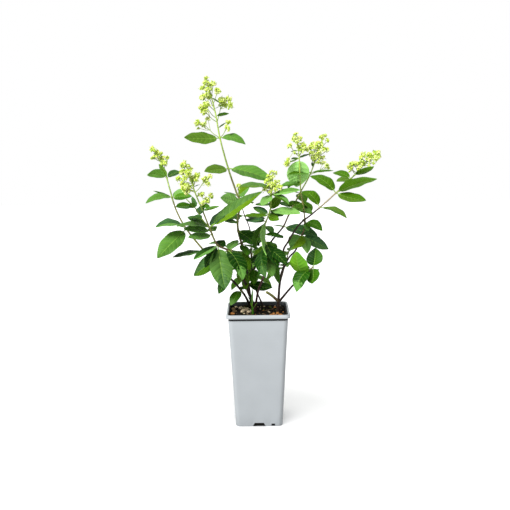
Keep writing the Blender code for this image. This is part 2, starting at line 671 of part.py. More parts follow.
def mass_stem(name, limbs, crown):
    """The limb that a mass grows from, and the tube of its own stretch of stem."""
    if name in SPRIGS:
        host, at, heading, rise, length = SPRIGS[name]
        spine = Vector(limbs[host].at(at))
        far = spine + heading_vector(heading, rise) * length
        limb = Limb([tuple(spine), tuple(far)], SPRIG_RADIUS, SPRIG_RADIUS * TWIG_TAPER)
        return limb, tube(limb, fork_start(crown, limb, 1.0, TWIG_SIDES), 1.0, TWIG_SIDES)
    limb = limbs["tall" if name == "tall_top" else name]
    half_gap = CLEARANCE / limb.length / 2
    if name == "tall_top":
        return limb, tube(limb, TALL_SPLIT + half_gap, HEAD_SHARE, TWIG_SIDES)
    end = TALL_SPLIT - half_gap if name == "tall" else HEAD_SHARE
    return limb, tube(limb, STEMS[name]["bare"] + half_gap, end, TWIG_SIDES)


def main():
    clear_scene()
    materials = {name: make_material(name) for name in COLOURS}
    rng = np.random.default_rng(SEED)
    limbs = {}
    for name, row in STEMS.items():
        line = row["line"]
        if "from" in row:
            host, at = row["from"]
            line = [tuple(limbs[host].at(at))] + line
        limbs[name] = Limb(line, row["foot"], row["tip"])
    feet = [limb.at(0.0)[:2] for name, limb in limbs.items() if "from" not in STEMS[name]]

    make_pot(materials["pot"])
    make_soil(materials["soil"], feet, rng)

    crown = Crown()
    for name, row in STEMS.items():
        limb = limbs[name]
        end = row["bare"] - CLEARANCE / limb.length / 2
        if "from" in row:
            start = fork_start(crown, limb, end, STEM_SIDES)
            flare = 1.0
        else:
            start = CLEARANCE / limb.length
            flare = FOOT_FLARE
        points, faces = tube(limb, start, end, STEM_SIDES, flare)
        points, faces = facing_out(points, faces)
        add_object("stem_" + name, points, faces, materials["bark"], smooth=True)
        crown.add("stem_" + name, points, faces)

    masses = {}
    for name in LEAVES:
        limb, base = mass_stem(name, limbs, crown)
        others = []
        rows = [(limb, row) for row in LEAVES[name]]
        if name == "left":
            spur = Limb(SPUR_LINE, SPUR_RADIUS, SPUR_RADIUS * TWIG_TAPER)
            others.append(tube(spur, 0.0, 1.0, TWIG_SIDES))
            rows += [(spur, row) for row in SPUR_LEAVES]
        if name in PANICLES:
            others += panicle(limb, *PANICLES[name], rng)
        for shape in [base] + others:
            crown.add("foliage_" + name, *shape)
        masses[name] = (base, others, rows)

    for name, (base, others, rows) in masses.items():
        owner = "foliage_" + name
        for limb, row in rows:
            shape = clear_leaf(crown, owner, limb, row)
            if shape is not None:
                crown.add(owner, *shape)
                others.append(shape)
        join(owner, base, others, materials["foliage"])


main()
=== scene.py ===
"""The looks of a young panicle hydrangea in bud, growing in a tall square nursery pot.

Metres, +Z up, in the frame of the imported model. Finer meshes replace the pot, the soil, each stem and
each mass of leaves. The stems follow the lines of the solids, and the leaves and flower heads have
finer rows of their own.
"""

import math

import bmesh
import bpy
import numpy as np
from mathutils import Matrix, Vector, noise

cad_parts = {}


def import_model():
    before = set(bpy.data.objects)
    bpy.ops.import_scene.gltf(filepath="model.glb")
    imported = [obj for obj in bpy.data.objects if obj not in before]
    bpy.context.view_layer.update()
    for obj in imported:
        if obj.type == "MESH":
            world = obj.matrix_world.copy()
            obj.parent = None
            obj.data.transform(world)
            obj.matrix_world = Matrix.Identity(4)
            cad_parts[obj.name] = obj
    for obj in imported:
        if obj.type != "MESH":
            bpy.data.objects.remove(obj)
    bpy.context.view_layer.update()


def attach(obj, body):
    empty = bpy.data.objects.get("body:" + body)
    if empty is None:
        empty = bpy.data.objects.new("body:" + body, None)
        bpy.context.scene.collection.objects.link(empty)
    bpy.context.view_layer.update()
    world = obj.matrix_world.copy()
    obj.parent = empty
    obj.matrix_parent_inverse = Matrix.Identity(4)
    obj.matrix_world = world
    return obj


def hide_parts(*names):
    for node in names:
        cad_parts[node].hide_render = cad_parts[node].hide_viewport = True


SEED = 23

# Random turns run from 0 to this, in radians
ANY_TURN = 6.3

# Edges that bend more than these, in degrees, are shaded sharp
SHARP = 60
POT_SHARP = 40
SOIL_SHARP = 30

# Camera: place, tilts in degrees, and the focal length in pixels of the photo
PHOTO_SIZE = 510
CAMERA_PLACE = (-0.0047, -1.365, 0.563)
CAMERA_PITCH = 8.77
CAMERA_ROLL = 0.7
FOCAL_PIXELS = 668.2
SENSOR = 36.0

# Suns: strength, the way they shine, and their spread in degrees. The key lights all but the floor,
# the other two light only the floor, and the fill casts no shadow.
KEY_LIGHT = (6.6, (0.47, 0.55, -0.69), 25)
FLOOR_LIGHT = (1.4, (0.16, 0.24, -0.957), 24)
FLOOR_FILL = (0.2, (0, 0, -1), 5)
FLOOR_REACH = 6.0
FLOOR_COLOUR = (0.97, 0.97, 0.97)
FLOOR_ROUGHNESS = 0.95

# Sizes of the pot: its shell, the groove under its rim, and the drains round its foot
POT_HEIGHT = 0.24
RIM_HALF = 0.065
RIM_BAND = 0.0075
UNDER_RIM = POT_HEIGHT - RIM_BAND
RIM_INNER_HALF = 0.0605
BODY_TOP_HALF = 0.0609
BODY_FOOT_HALF = 0.0487
CORNER_RADIUS = 0.01
WALL = 0.002
FLOOR = 0.003
GROOVE_HEIGHT = 0.0048
GROOVE_INSET = 0.0022
SHOULDER = 0.0009
NECK_FOOT = 0.0003
NECK_TOP = 0.0002
NOTCH_WIDTH = 0.026
NOTCH_TOP_WIDTH = 0.019
NOTCH_HEIGHT = 0.0077
NOTCH_DEPTH = 0.009
NOTCH_STRAIGHT = 0.001
# A thin skin stays under each notch; its top takes the drain look, a dark sheet of painted shade over the
# floor.
NOTCH_SKIN = 0.0004
SLOT_OFFSET = 0.029
SLOT_WIDTH = 0.0075
SLOT_HEIGHT = 0.0046
SLOT_LEVEL = 0.0012
SLOT_DEPTH = 0.006
CUTTER_MARGIN = 0.01
CORNER_STEPS = 10
SIDE_POINTS = 11
BODY_START = 0.0016
BODY_BANDS = 8

# Rounded edges of the pot, as (step in or out, step up or down). The foot is measured from the foot's
# corner, the shoulder in shares of SHOULDER, the lower and upper rim from the rim's corners, and the
# lip from the inner edge of the rim.
FOOT_EDGE = ((0.0012, 0.0), (0.0003, 0.0004))
SHOULDER_EDGE = ((0.15, 0.35), (0.5, 0.0))
RIM_FOOT_EDGE = ((0.0016, 0.0), (0.0007, 0.0), (0.0002, 0.0003), (0.0, 0.0009))
RIM_TOP_EDGE = ((0.0001, 0.0036), (0.0004, 0.0029), (0.001, 0.0025), (0.0012, 0.0021),
                (0.0011, 0.0011), (0.0015, 0.0003), (0.0022, 0.0))
LIP_EDGE = ((0.0012, 0.0), (0.0003, 0.0004), (0.0, 0.0014))

# Soil: its block, its hummocks and grains, the rings of its top, and the crumbs strewn on it with the
# odds of their looks. A wave is (height, scale of its noise, share of a finer noise, scale of that).
SOIL_LEVEL = 0.231
SOIL_RELIEF = 0.0034
SOIL_SINK = 0.001
SOIL_WAVES = ((0.65, 45.0, 0.5, 130.0), (0.4, 420.0, 0.6, 900.0))
SOIL_GAP = 0.0003
SOIL_RINGS = 44
SOIL_MIDDLE = 0.02
CRUMBS = 700
CRUMB_MARGIN = 0.0025
CRUMB_SIZES = (0.0006, 0.0026)
CRUMB_ODDS = {"peat": 0.42, "humus": 0.34, "fibre": 0.14, "chip": 0.04, "rust": 0.03, "moss": 0.03}
FINE_CRUMB = 0.002
CRUMB_STRETCH = (0.55, 1.0)
CRUMB_FLATNESS = 0.7
CRUMB_DENTS = 0.22
CRUMB_LIFT = 0.25
TWIG_LIFTS = (0.001, 0.004)
TWIG_RADII = (0.0009, 0.0007)

# Shape of a leaf. Sizes are shares of its length, and places run from 0 at its foot to 1 at its tip.
# The powers bend the curves of its outline and relief.
LEAF_ARCH = 0.02
LEAF_FOLD = 0.12
FOLD_EASE = 0.45
FOLD_POWER = 2.4
LEAF_THICKNESS = 0.009
PETIOLE_SHARE = 0.09
VEIN_PAIRS = 7
VEIN_SWEEP = 0.2
SWEEP_POWER = 1.3
VEIN_BAND = 0.01
RIB_BAND = 0.032
ROWS_BETWEEN_VEINS = (0.3, 0.52, 0.74)
END_ROWS = ((0.0, 0.02), (0.985, 1.0))
HALF_COLUMNS = (RIB_BAND, 0.14, 0.3, 0.48, 0.66, 0.82, 0.93, 1.0)
EDGE_COLUMN = 0.99
SERRATION = 0.006
TIP_START = 0.62
TIP_BLEND = 0.1
BLADE_SKEW = 0.85
BLADE_FULLNESS = 0.58
LEAST_WIDTH = 0.012
TIP_DRAW = 0.45
TIP_POWER = 8
GROOVE_DEPTH = 0.01
GROOVE_REACH = 0.1
VEIN_DEPTH = 0.0065
VEIN_POWER = 3
QUILT = 0.0085
QUILT_POWER = 0.8
RIPPLES = 2.5
TWIST_CENTRE = 0.3
PETIOLE_POINTS = (0.0, 0.04, 0.08, PETIOLE_SHARE, 0.2, 0.35, 0.5, 0.65, 0.8, 0.92)
PETIOLE_THICKNESS = 0.0125
PETIOLE_LEAST = 0.0002
PETIOLE_TAPER = 0.75

# How far leaves differ: in arch and fold as factors, in waves and in twist
ARCH_RANGE = (0.8, 1.3)
FOLD_RANGE = (0.9, 1.8)
WAVE_RANGE = (0.02, 0.06)
TWIST_RANGE = (-0.14, 0.14)

# Bark: its rings, ridges, knots and foot, and the stretches of the stems that carry leaves
BARK_SWELL = 1.16
DIRECTION_REACH = 0.01
RING_STEP = 0.0018
LEAST_RINGS = 4
BARK_SIDES = 12
MASS_SIDES = 9
RIDGES = 5
RIDGE_DEPTH = 0.05
KNURL_DEPTH = 0.07
RIDGE_NOISE = 60.0
RIDGE_WANDER = 2.0
KNURL_NOISE = 900.0
NODE_SWELL = 0.35
NODE_REACH = 0.0022
FOOT_SWELL = 0.45
FOOT_REACH = 0.007
FOOT_SINK = 0.004
LOOK_BLEND = 0.03
SPRIG_RADIUS = 0.0013
SPRIG_LOOKS = {"brown": 40, "olive": 100}
TWIG_TAPER = 0.8
TALL_SPLIT = 0.53
HEAD_SHARE = 0.985

# Flower heads: branches and their forks, clusters of tufts, buds on stalks, and opening florets
BRANCH_RADIUS = 0.0009
BRANCH_TAPER = (1.0, 0.85, 0.7)
BRANCH_SAG = 0.08
FORK_RADIUS = 0.0006
FORK_SHARE = 0.62
FORK_BACK = 0.6
SHORT_REACH = 0.012
TWIGLET_RADIUS = 0.00045
TUFT_SPACING = 0.004
TUFT_RADIUS = 0.0052
TUFT_CROWDING = 1.15
DOME = 1.5
CLUSTER_LEAST = 0.4
CLUSTER_RANGE = (0.75, 1.1)
TUFT_LIMIT = 0.8
TUFT_LEAN = 0.002
GOLDEN_ANGLE = 2.39996
BUDS_IN_TUFT = 15
STALK_RADII = (0.0004, 0.0003)
STALK_LEAN = 0.8
STALK_RANGE = (0.35, 1.0)
BUD_RADIUS = 0.00135
BUD_RANGE = (0.75, 1.3)
BUD_STRETCH = 1.2
FINE_BUD = 0.0013
BUD_ODDS = {"lime": 0.5, "cream": 0.32, "green": 0.13, "blush": 0.05}
SEPAL_LENGTH = 0.0027
SEPAL_WIDTH = 0.34
SEPAL_RANGE = (0.8, 1.25)
FLORET_CUP = (0.4, 1.2)
HEART_SHARE = 0.7
SEPAL_ODDS = {"cream": 0.6, "lime": 0.4}
FLORET_SHARE = 0.3
BRACTEOLE_SHARE = 0.08
BRACTEOLE_LENGTHS = (0.003, 0.005)
BRACTEOLE_WIDTH = 0.0008
BLADE_MIDDLE = 0.45
BLADE_FLATNESS = 0.3

# Stems: the share of the length that is bare, the radii at foot and tip, the looks of the bark from
# the foot up with the share where each ends, and the points of the centre line. Shares are in percent,
# radii in tenths of a millimetre and points in millimetres. A limb with "from" starts on that stem.
STEMS = {
    "far_left": {
        "bare": 34.5, "radii": (22, 9),
        "looks": {"dark": 22, "brown": 36, "olive": 70, "green": 80, "lime": 100},
        "line": [(-15, 52, 231), (-31, 32, 266), (-56, 20, 299), (-82, 10, 328), (-110, 0, 363),
            (-144, -4, 408), (-165, 0, 448), (-178, 8, 492), (-190, 18, 532), (-216, 28, 578)]},
    "left": {
        "bare": 38.5, "radii": (23, 9),
        "looks": {"dark": 36, "brown": 54, "olive": 72, "green": 82, "lime": 100},
        "line": [(-5, 30, 231), (-25, 12, 289), (-44, -18, 337), (-58, -28, 366), (-80, -38, 380),
            (-94, -45, 414), (-108, -50, 453), (-120, -55, 485), (-138, -60, 545)]},
    "tall": {
        "bare": 14, "radii": (24, 10),
        "looks": {"dark": 20, "brown": 34, "olive": 60, "green": 72, "lime": 100},
        "line": [(-13, 44, 231), (-20, 38, 288), (-27, 28, 351), (-38, 22, 394), (-40, 20, 423),
            (-34, 20, 459), (-42, 20, 482), (-57, 20, 528), (-73, 20, 590), (-82, 20, 644),
            (-99, 20, 713)]},
    "centre": {
        "bare": 36, "radii": (21, 9),
        "looks": {"wine": 30, "brown": 60, "tan": 68, "green": 80, "lime": 100},
        "line": [(-6, 10, 231), (0, -8, 275), (12, -20, 310), (20, -30, 342), (15, -38, 388),
            (15, -42, 416), (26, -46, 448), (29, -49, 482), (33, -50, 526)]},
    "back_right": {
        "bare": 12.5, "radii": (22, 9),
        "looks": {"dark": 50, "brown": 60, "olive": 68, "lime": 100},
        "line": [(-6, 56, 231), (-23, 48, 271), (-20, 46, 294), (-7, 45, 316), (12, 48, 345), (33, 51, 377),
            (56, 55, 404), (68, 55, 429), (93, 55, 477), (116, 60, 519), (144, 65, 596)]},
    "back_middle": {
        "bare": 42, "radii": (16, 7),
        "looks": {"dark": 60, "wine": 80, "green": 100},
        "line": [(12, 54, 231), (-6, 62, 275), (-13, 68, 327), (-14, 66, 392), (-27, 60, 432),
            (-35, 52, 465), (-37, 45, 491)]},
    "right_trunk": {
        "bare": 100, "radii": (34, 29),
        "looks": {"dark": 100},
        "line": [(43, 4, 231), (43, -2, 246), (43, -6, 259)]},
    "right_middle": {
        "bare": 100, "radii": (23, 21), "from": ("right_trunk", 100),
        "looks": {"dark": 100},
        "line": [(45, -10, 289), (49, -10, 313), (55, -10, 330)]},
    "far_right": {
        "bare": 34, "radii": (18, 9), "from": ("right_middle", 100),
        "looks": {"dark": 49, "tan": 64, "olive": 72, "green": 80, "lime": 100},
        "line": [(53, -20, 363), (62, -26, 382), (84, -31, 417), (111, -36, 440), (141, -45, 467),
            (185, -55, 510), (212, -60, 539), (238, -65, 560)]},
    "upper_right": {
        "bare": 23.5, "radii": (17, 8), "from": ("right_middle", 86),
        "looks": {"dark": 20, "brown": 42, "olive": 60, "lime": 100},
        "line": [(65, 2, 345), (80, 11, 360), (92, 17, 387), (100, 22, 409), (98, 27, 444), (92, 30, 482),
            (89, 30, 550), (82, 30, 600)]},
    "low_right": {
        "bare": 72, "radii": (22, 12), "from": ("right_trunk", 78),
        "looks": {"dark": 85, "olive": 100},
        "line": [(72, -30, 294), (95, -42, 317), (113, -48, 336)]},
    "broken_stub": {
        "bare": 100, "radii": (26, 23), "from": ("right_trunk", 85),
        "looks": {"brown": 45, "olive": 100},
        "line": [(30, -15, 269), (18, -24, 279)]},
}

# Masses: leaves as (share of the stem, heading, rise, length, roll, width, looks), and where a leaf is
# bowed more than the rest, the height of its bow. Shares are in percent of the stem, widths and bows
# in percent of the leaf, lengths in millimetres, and turns in degrees: a heading of 0 is +X, 90 is +Y.
# Looks name the leaf's colour, or those of its left and right halves with a stroke between them, and
# after an arrow that of its tip. Lighter and darker looks there stand partly for how lit or shaded that
# leaf, half or tip is: painted light and shade.
LEAVES = {
    "left": [(51, -69, -63, 92, -12, 50, "grey>sheen", -4), (44, -59, -41, 78, 4, 50, "deep>light", 12),
        (44, 65, 20, 46, 0, 50, "light"), (51, 68, 10, 34, -30, 63, "deep", -10),
        (51, -143, -22, 62, 8, 45, "dark/light"), (44, 163, -36, 94, 51, 45, "sheen/moss"),
        (51, -159, -58, 52, 25, 50, "deep"), (62, 17, 32, 130, -22, 34, "yellow/grey"),
        (62, -151, 6, 70, 12, 46, "grey", 7), (60, -160, 7, 56, 28, 50, "light", 3),
        (62, 170, 24, 48, 20, 48, "light", 3), (58, -146, -2, 54, 24, 52, "light/grey", -3),
        (62, 75, -15, 40, 30, 50, "dark"), (62, 45, 35, 62, 0, 50, "teal"),
        (72, -22, 16, 38, 35, 30, "light/bright"), (72, 126, 5, 26, 50, 50, "teal"),
        (75, -37, 2, 24, -63, 40, "mid")],
    "far_left": [(41, -164, -8, 67, 8, 48, "dark/mid"), (55, -142, -37, 88, 32, 48, "fresh/mild", 3),
        (55, -150, 7, 68, 22, 50, "teal/light", 14), (72, -151, -9, 58, 22, 46, "fresh", 11),
        (72, 168, 19, 42, 14, 25, "mid"), (72, -18, 4, 44, -40, 49, "mid/bright"),
        (72, 42, 25, 42, -21, 45, "pale"), (82, -143, 10, 46, -42, 56, "fresh", 14),
        (82, -142, 59, 34, -12, 46, "sage", 2), (82, -19, 21, 34, 36, 56, "teal", 16),
        (41, 40, -25, 55, 0, 50, "dark")],
    "centre": [(54, -55, -48, 66, 9, 50, "deep"), (52, -76, -48, 78, 24, 46, "sheen/grey>grey", -4),
        (50, -31, -67, 79, -2, 40, "mid"), (50, -91, -50, 70, -46, 50, "deep>sheen", 15),
        (67, -90, -60, 72, 72, 45, "pale", -14), (50, -38, -32, 62, -20, 48, "deep", 8),
        (44, 100, -20, 50, 0, 50, "dark"), (54, 57, -29, 50, 11, 50, "dark"),
        (50, 155, -35, 34, -29, 45, "moss"), (67, 138, -63, 66, 10, 52, "deep", 9),
        (64, 52, -37, 34, 12, 53, "teal", 14), (58, 10, -9, 40, -30, 35, "dark", 8),
        (75, -35, -3, 70, -24, 42, "pale"), (72, 146, 20, 40, 28, 45, "teal/grey"),
        (73, 43, -7, 42, -47, 45, "dark"), (71, -53, -10, 34, -48, 50, "olive"),
        (72, -147, 1, 56, 14, 46, "olive", -2), (67, 144, 2, 52, 23, 45, "teal"),
        (75, 47, 41, 40, -25, 55, "olive"), (85, -27, 9, 62, -28, 38, "pale/fresh"),
        (85, -45, -20, 50, -7, 40, "moss/light", 10), (85, -122, -27, 42, 11, 50, "pale"),
        (78, 137, 1, 42, 21, 40, "light"), (90, -158, 2, 68, 16, 46, "grey/sage", 5),
        (39, -120, -30, 40, 10, 45, "dark"), (58, 120, -35, 50, 0, 50, "dark")],
    "tall": [(35, -38, -26, 62, -30, 50, "dark"), (29, -71, -27, 40, 11, 55, "mid"),
        (26, -65, -56, 46, 10, 45, "olive"), (39, -126, 5, 42, 30, 45, "dark/light"),
        (47, -144, 15, 50, 64, 58, "pale"), (50, -48, 29, 42, -78, 50, "light/yellow"),
        (50, 140, 10, 40, 7, 25, "light"), (16, -94, -45, 44, -34, 50, "olive"),
        (20, -122, -54, 46, -20, 52, "olive", 12), (39, 115, 18, 50, -16, 50, "mid", 10),
        (35, 55, -26, 55, 14, 50, "mid", 10), (47, 60, -6, 50, -18, 50, "fresh", 10),
        (29, 30, -20, 46, 10, 50, "dark"), (26, 150, -25, 50, 0, 50, "dark")],
    "tall_top": [(62, -144, -4, 58, 38, 50, "sage"), (62, -21, -15, 96, -24, 50, "mild/fresh", 9),
        (75, -157, 1, 76, 41, 48, "sage", -2), (75, -16, -14, 56, -32, 49, "fresh", 15)],
    "back_right": [(49, 130, 0, 32, 10, 30, "light"), (49, -27, -11, 80, -24, 46, "teal", 4),
        (60, -36, -14, 52, -20, 49, "grey", 8), (43, -62, -4, 30, -14, 50, "dark"),
        (43, 100, -10, 35, 20, 50, "mid"), (80, -131, -1, 78, 21, 25, "moss/fresh"),
        (80, -24, 5, 50, 21, 26, "bright>teal"), (23, -96, -51, 40, -4, 55, "mid", -4),
        (14, -13, -8, 57, -34, 50, "deep", -6), (23, 150, 0, 45, 0, 50, "mid"),
        (60, 121, 10, 50, 13, 45, "dark"), (68, 70, -28, 52, 20, 50, "mid", 10),
        (56, 140, -6, 55, -14, 50, "mid", 10), (68, 150, 4, 48, -20, 50, "mid", 8),
        (33, 100, -34, 60, 16, 50, "mid", 12), (33, -150, -30, 50, 10, 50, "dark")],
    "upper_right": [(83, 99, -67, 66, -2, 72, "glow", -7), (83, 120, -5, 30, -20, 35, "mid"),
        (83, 40, 15, 32, -10, 35, "mid"), (65, -153, -3, 46, 22, 47, "light/mid", 8),
        (29, 3, -28, 64, -46, 50, "sheen/teal"), (29, -123, -29, 50, 24, 72, "light/yellow", 12),
        (29, -73, -48, 46, 6, 54, "pale/light", 12), (38, -44, -16, 48, -28, 55, "mid", 15),
        (38, -75, -34, 26, -13, 50, "light"), (48, -130, 10, 38, -40, 50, "mid"),
        (53, 51, -32, 42, 21, 50, "mid"), (52, 125, -10, 50, -30, 50, "mid"),
        (39, -106, 21, 20, -33, 50, "olive"), (37, 70, -10, 55, 0, 50, "mid"),
        (65, 120, -12, 46, 20, 50, "mid", 10)],
    "far_right": [(49, -37, -16, 64, -6, 48, "moss/sage", 11), (49, 138, 33, 56, 16, 52, "moss", 17),
        (63, 144, 29, 68, 20, 50, "moss", 12), (63, -28, 19, 88, 24, 47, "moss", 7),
        (63, -35, -11, 66, -26, 48, "sage/moss", -3), (76, 143, 15, 42, 28, 49, "moss", 12),
        (76, -145, -6, 38, 30, 45, "sage"), (79, -39, 22, 46, 22, 48, "moss", -3),
        (63, 20, 22, 45, 0, 45, "mid")],
    "low_right": [(98, 76, 52, 44, 4, 78, "mid/deep", -12), (78, -136, 64, 56, -8, 78, "moss/mid", -15),
        (92, -142, -47, 56, 10, 64, "dark>light", 19), (98, -99, -42, 42, -22, 68, "mid", -8),
        (92, -155, 36, 36, -14, 30, "teal"), (92, 75, -15, 50, 0, 50, "mid")],
    "back_middle": [(95, 70, 30, 36, 0, 45, "mid"), (62, 60, -22, 60, 18, 50, "mid", 10),
        (62, 15, -14, 45, 10, 50, "dark"), (75, 130, -12, 55, -18, 50, "mid", 10),
        (75, -10, -5, 45, -15, 50, "dark"), (89, 150, 12, 40, -20, 50, "light", 8),
        (48, 110, -38, 65, 12, 50, "mid", 12), (48, 10, -20, 50, 0, 50, "dark")],
    "low_left": [(95, -134, -41, 42, 18, 54, "mid>grey", 9), (95, 75, 5, 34, 0, 50, "mid")],
    "under_left": [(95, -140, -66, 43, 20, 54, "dark", -12), (60, 100, -15, 40, 0, 50, "dark")],
    "back_left": [(45, 170, -28, 60, -22, 48, "mid", 10), (45, 60, -35, 60, 24, 50, "mid", 12),
        (75, 120, -18, 65, 14, 50, "fresh", 12), (75, -150, -5, 55, 0, 48, "dark", 8),
        (98, 90, -30, 60, -16, 50, "mid", 14), (98, 30, 14, 55, 22, 48, "moss", 10),
        (98, 160, 12, 55, -26, 48, "fresh", 12)],
    "back_centre": [(40, 20, -30, 60, 20, 50, "mid", 10), (40, 150, -38, 60, -18, 50, "mid", 12),
        (70, 90, -26, 68, 12, 50, "fresh", 14), (70, -10, -10, 52, -14, 50, "dark", 8),
        (98, 60, 2, 60, 24, 48, "fresh", 14), (98, 140, -16, 62, -22, 50, "moss", 12),
        (98, 10, 26, 50, 16, 48, "mid", 10)],
    "back_low_right": [(50, 80, -10, 58, 18, 50, "mid", 10), (50, 150, -38, 55, -16, 50, "mid", 12),
        (95, 60, 2, 58, 20, 50, "fresh", 10), (95, 130, -32, 50, -24, 50, "moss", 12),
        (95, -15, 14, 50, 14, 48, "mid", 8)],
}

# Short side twigs that carry a mass of their own: host stem, percent of it, heading, rise and length
SPRIGS = {
    "low_left": ("far_left", 10, -110, 35, 18),
    "under_left": ("far_left", 25, -90, 5, 18),
    "back_left": ("tall", 11, 125, 45, 95),
    "back_centre": ("back_right", 9.5, 82, 42, 105),
    "back_low_right": ("right_middle", 45, 72, 38, 100),
}

# The side shoot of the left stem: its centre line, knots and leaves
SPUR_LINE = [(-94, -45, 414), (-108, -56, 434), (-119, -60, 454), (-137, -64, 474)]
SPUR_KNOTS = (0.32, 0.68)
SPUR_SIDES = 8
SPUR_RADIUS = 0.001
SPUR_LEAVES = [(77, -136, 0, 42, 40, 45, "mid/sheen"), (32, -124, 10, 42, -24, 50, "teal", 8),
    (68, -99, 52, 30, 25, 45, "teal"), (32, 140, 5, 42, 15, 50, "dark"),
    (68, -114, 26, 24, -45, 50, "dark"), (45, 83, 38, 34, 18, 50, "teal")]

# The young green shoot in the soil: its centre line and radii in metres, and its blades
SHOOT_LINE = [(-0.0105, -0.017, 0.228), (-0.0110, -0.016, 0.238), (-0.0118, -0.014, 0.247)]
SHOOT_RADII = [0.0026, 0.0023, 0.0012]
SHOOT_SIDES = 8
SHOOT_LEAVES = [(100, 75, 84, 38, 0, 10, "light"), (100, 160, 66, 24, 0, 14, "mid"),
    (60, -15, 58, 18, 10, 22, "light"), (80, -120, 62, 14, 0, 24, "mid")]

# Flower heads in bud: clusters as (percent of the stem, heading, rise, reach, radius), with the reach
# in millimetres and the radius in tenths of a millimetre
HEADS = {
    "tall_top": [(50, 0, 82, 19, 62), (75, 171, 40, 41, 77), (75, -173, 34, 53, 77), (75, 180, 58, 44, 57),
        (75, 177, 25, 47, 41), (75, -33, 47, 27, 65), (75, -19, 58, 35, 53), (81.5, -164, 39, 32, 97),
        (81.5, -169, 58, 39, 93), (81.5, -161, 42, 42, 73), (81.5, 30, 74, 44, 97), (81.5, 25, 62, 51, 89),
        (81.5, 9, 52, 42, 81), (81.5, 40, 61, 39, 73), (86, 168, 49, 36, 89), (87, -164, 62, 31, 61),
        (89, -18, 67, 25, 81), (91.5, 173, 49, 25, 65), (92, -32, 77, 24, 77), (93, -128, 46, 11, 61),
        (93, 136, 73, 19, 61), (95.5, 180, 60, 12, 61), (96.5, 180, 76, 14, 55), (81.5, 70, 54, 47, 93),
        (83, 133, 37, 41, 93), (87, 120, 47, 34, 81), (91, 111, 52, 24, 69)],
    "left": [(75, 66, 78, 21, 73), (75, 36, 36, 17, 85), (75, 17, 42, 27, 65), (77, -31, -4, 8, 57),
        (83, 11, 49, 30, 89), (83, 12, 46, 41, 65), (83, 0, 32, 30, 49), (84, -154, 20, 20, 97),
        (84, -157, 9, 10, 69), (85, -172, 28, 23, 69), (84, -153, -12, 18, 53), (86, 17, 71, 22, 77),
        (87, -23, 54, 13, 49), (87, 94, 73, 14, 61), (88, -175, 23, 26, 61), (88, -155, 36, 18, 61),
        (90, -133, 64, 15, 73), (91, -172, 40, 18, 73), (92, 36, 75, 13, 53), (93.5, 180, 53, 18, 65),
        (94.5, 123, 76, 10, 61), (96.5, 180, 64, 11, 49), (83, 124, 18, 30, 89), (86, 95, 31, 26, 81),
        (90, 116, 33, 24, 77)],
    "far_left": [(86, -78, 69, 14, 65), (87, -113, 44, 9, 49), (89, 14, 57, 16, 57), (90, 71, 28, 5, 53),
        (91, -171, 31, 15, 53), (92, 60, 73, 12, 57), (93, -133, 19, 6, 49), (95, -157, 57, 10, 65),
        (97, 19, -1, 6, 45), (98.5, 180, 64, 2, 45), (90, 97, 31, 16, 65), (93, 108, 32, 15, 61)],
    "centre": [(84, -152, 47, 19, 61), (84, -119, 46, 13, 49), (84, -18, 47, 23, 61), (85, -45, 36, 14, 53),
        (86, -112, 63, 17, 65), (87, -161, 63, 21, 57), (88, 0, 54, 18, 57), (89, -57, 55, 10, 53),
        (91, -161, 69, 18, 49), (93, -85, 71, 9, 53), (95, 180, 85, 12, 57), (96, 10, 55, 10, 45),
        (86, 78, 30, 21, 77), (91, 98, 43, 17, 65)],
    "upper_right": [(83, -162, -21, 28, 77), (84, -170, -14, 23, 53), (84, -164, 48, 28, 65),
        (86, -148, 9, 10, 32), (84, -24, 62, 21, 77), (84, 0, 40, 19, 57), (85, -33, 45, 10, 53),
        (87, 14, 61, 18, 49), (92, -155, 57, 13, 61), (92, 14, 71, 13, 61), (94, -97, 12, 4, 49),
        (97.5, 180, 81, 4, 53), (86, 84, 33, 21, 69)],
    "back_right": [(79, -7, 27, 38, 65), (79, 0, 40, 36, 49), (79, -3, 19, 40, 41), (83, -75, 71, 19, 85),
        (83, -131, 79, 28, 65), (84, -35, 37, 13, 53), (84, 9, 54, 21, 61), (84, 15, 37, 25, 49),
        (85, -71, 85, 33, 81), (86, 180, 71, 30, 73), (87, 160, 80, 33, 53), (88, -45, 59, 14, 61),
        (89, 8, 26, 25, 57), (90, -22, 45, 15, 69), (91, -114, 83, 18, 53), (92, -53, 64, 14, 61),
        (93, 10, 42, 23, 49), (95, 0, 85, 14, 61), (97, 0, 64, 11, 49), (84, 69, 37, 32, 89),
        (88, 70, 44, 30, 77)],
    "far_right": [(80, -155, 43, 13, 57), (81, -172, 38, 18, 49), (82, 180, 67, 14, 69),
        (82, -166, 51, 19, 53), (83, 96, 75, 12, 65), (83, -81, 49, 6, 49), (85, -31, 70, 11, 45),
        (85, 44, 76, 24, 69), (87, 180, 71, 14, 45), (88, -38, -15, 10, 30), (88, -26, 51, 11, 65),
        (88, 13, 62, 19, 69), (89, -15, 2, 15, 28), (91, -18, 17, 14, 65), (91, 12, 38, 13, 57),
        (93, 12, 47, 14, 65), (94, 0, 8, 12, 53), (95, 0, 42, 12, 53), (85, 74, 32, 17, 73),
        (90, 59, 31, 19, 69)],
    "back_middle": [(95, 20, 60, 6, 60)],
}

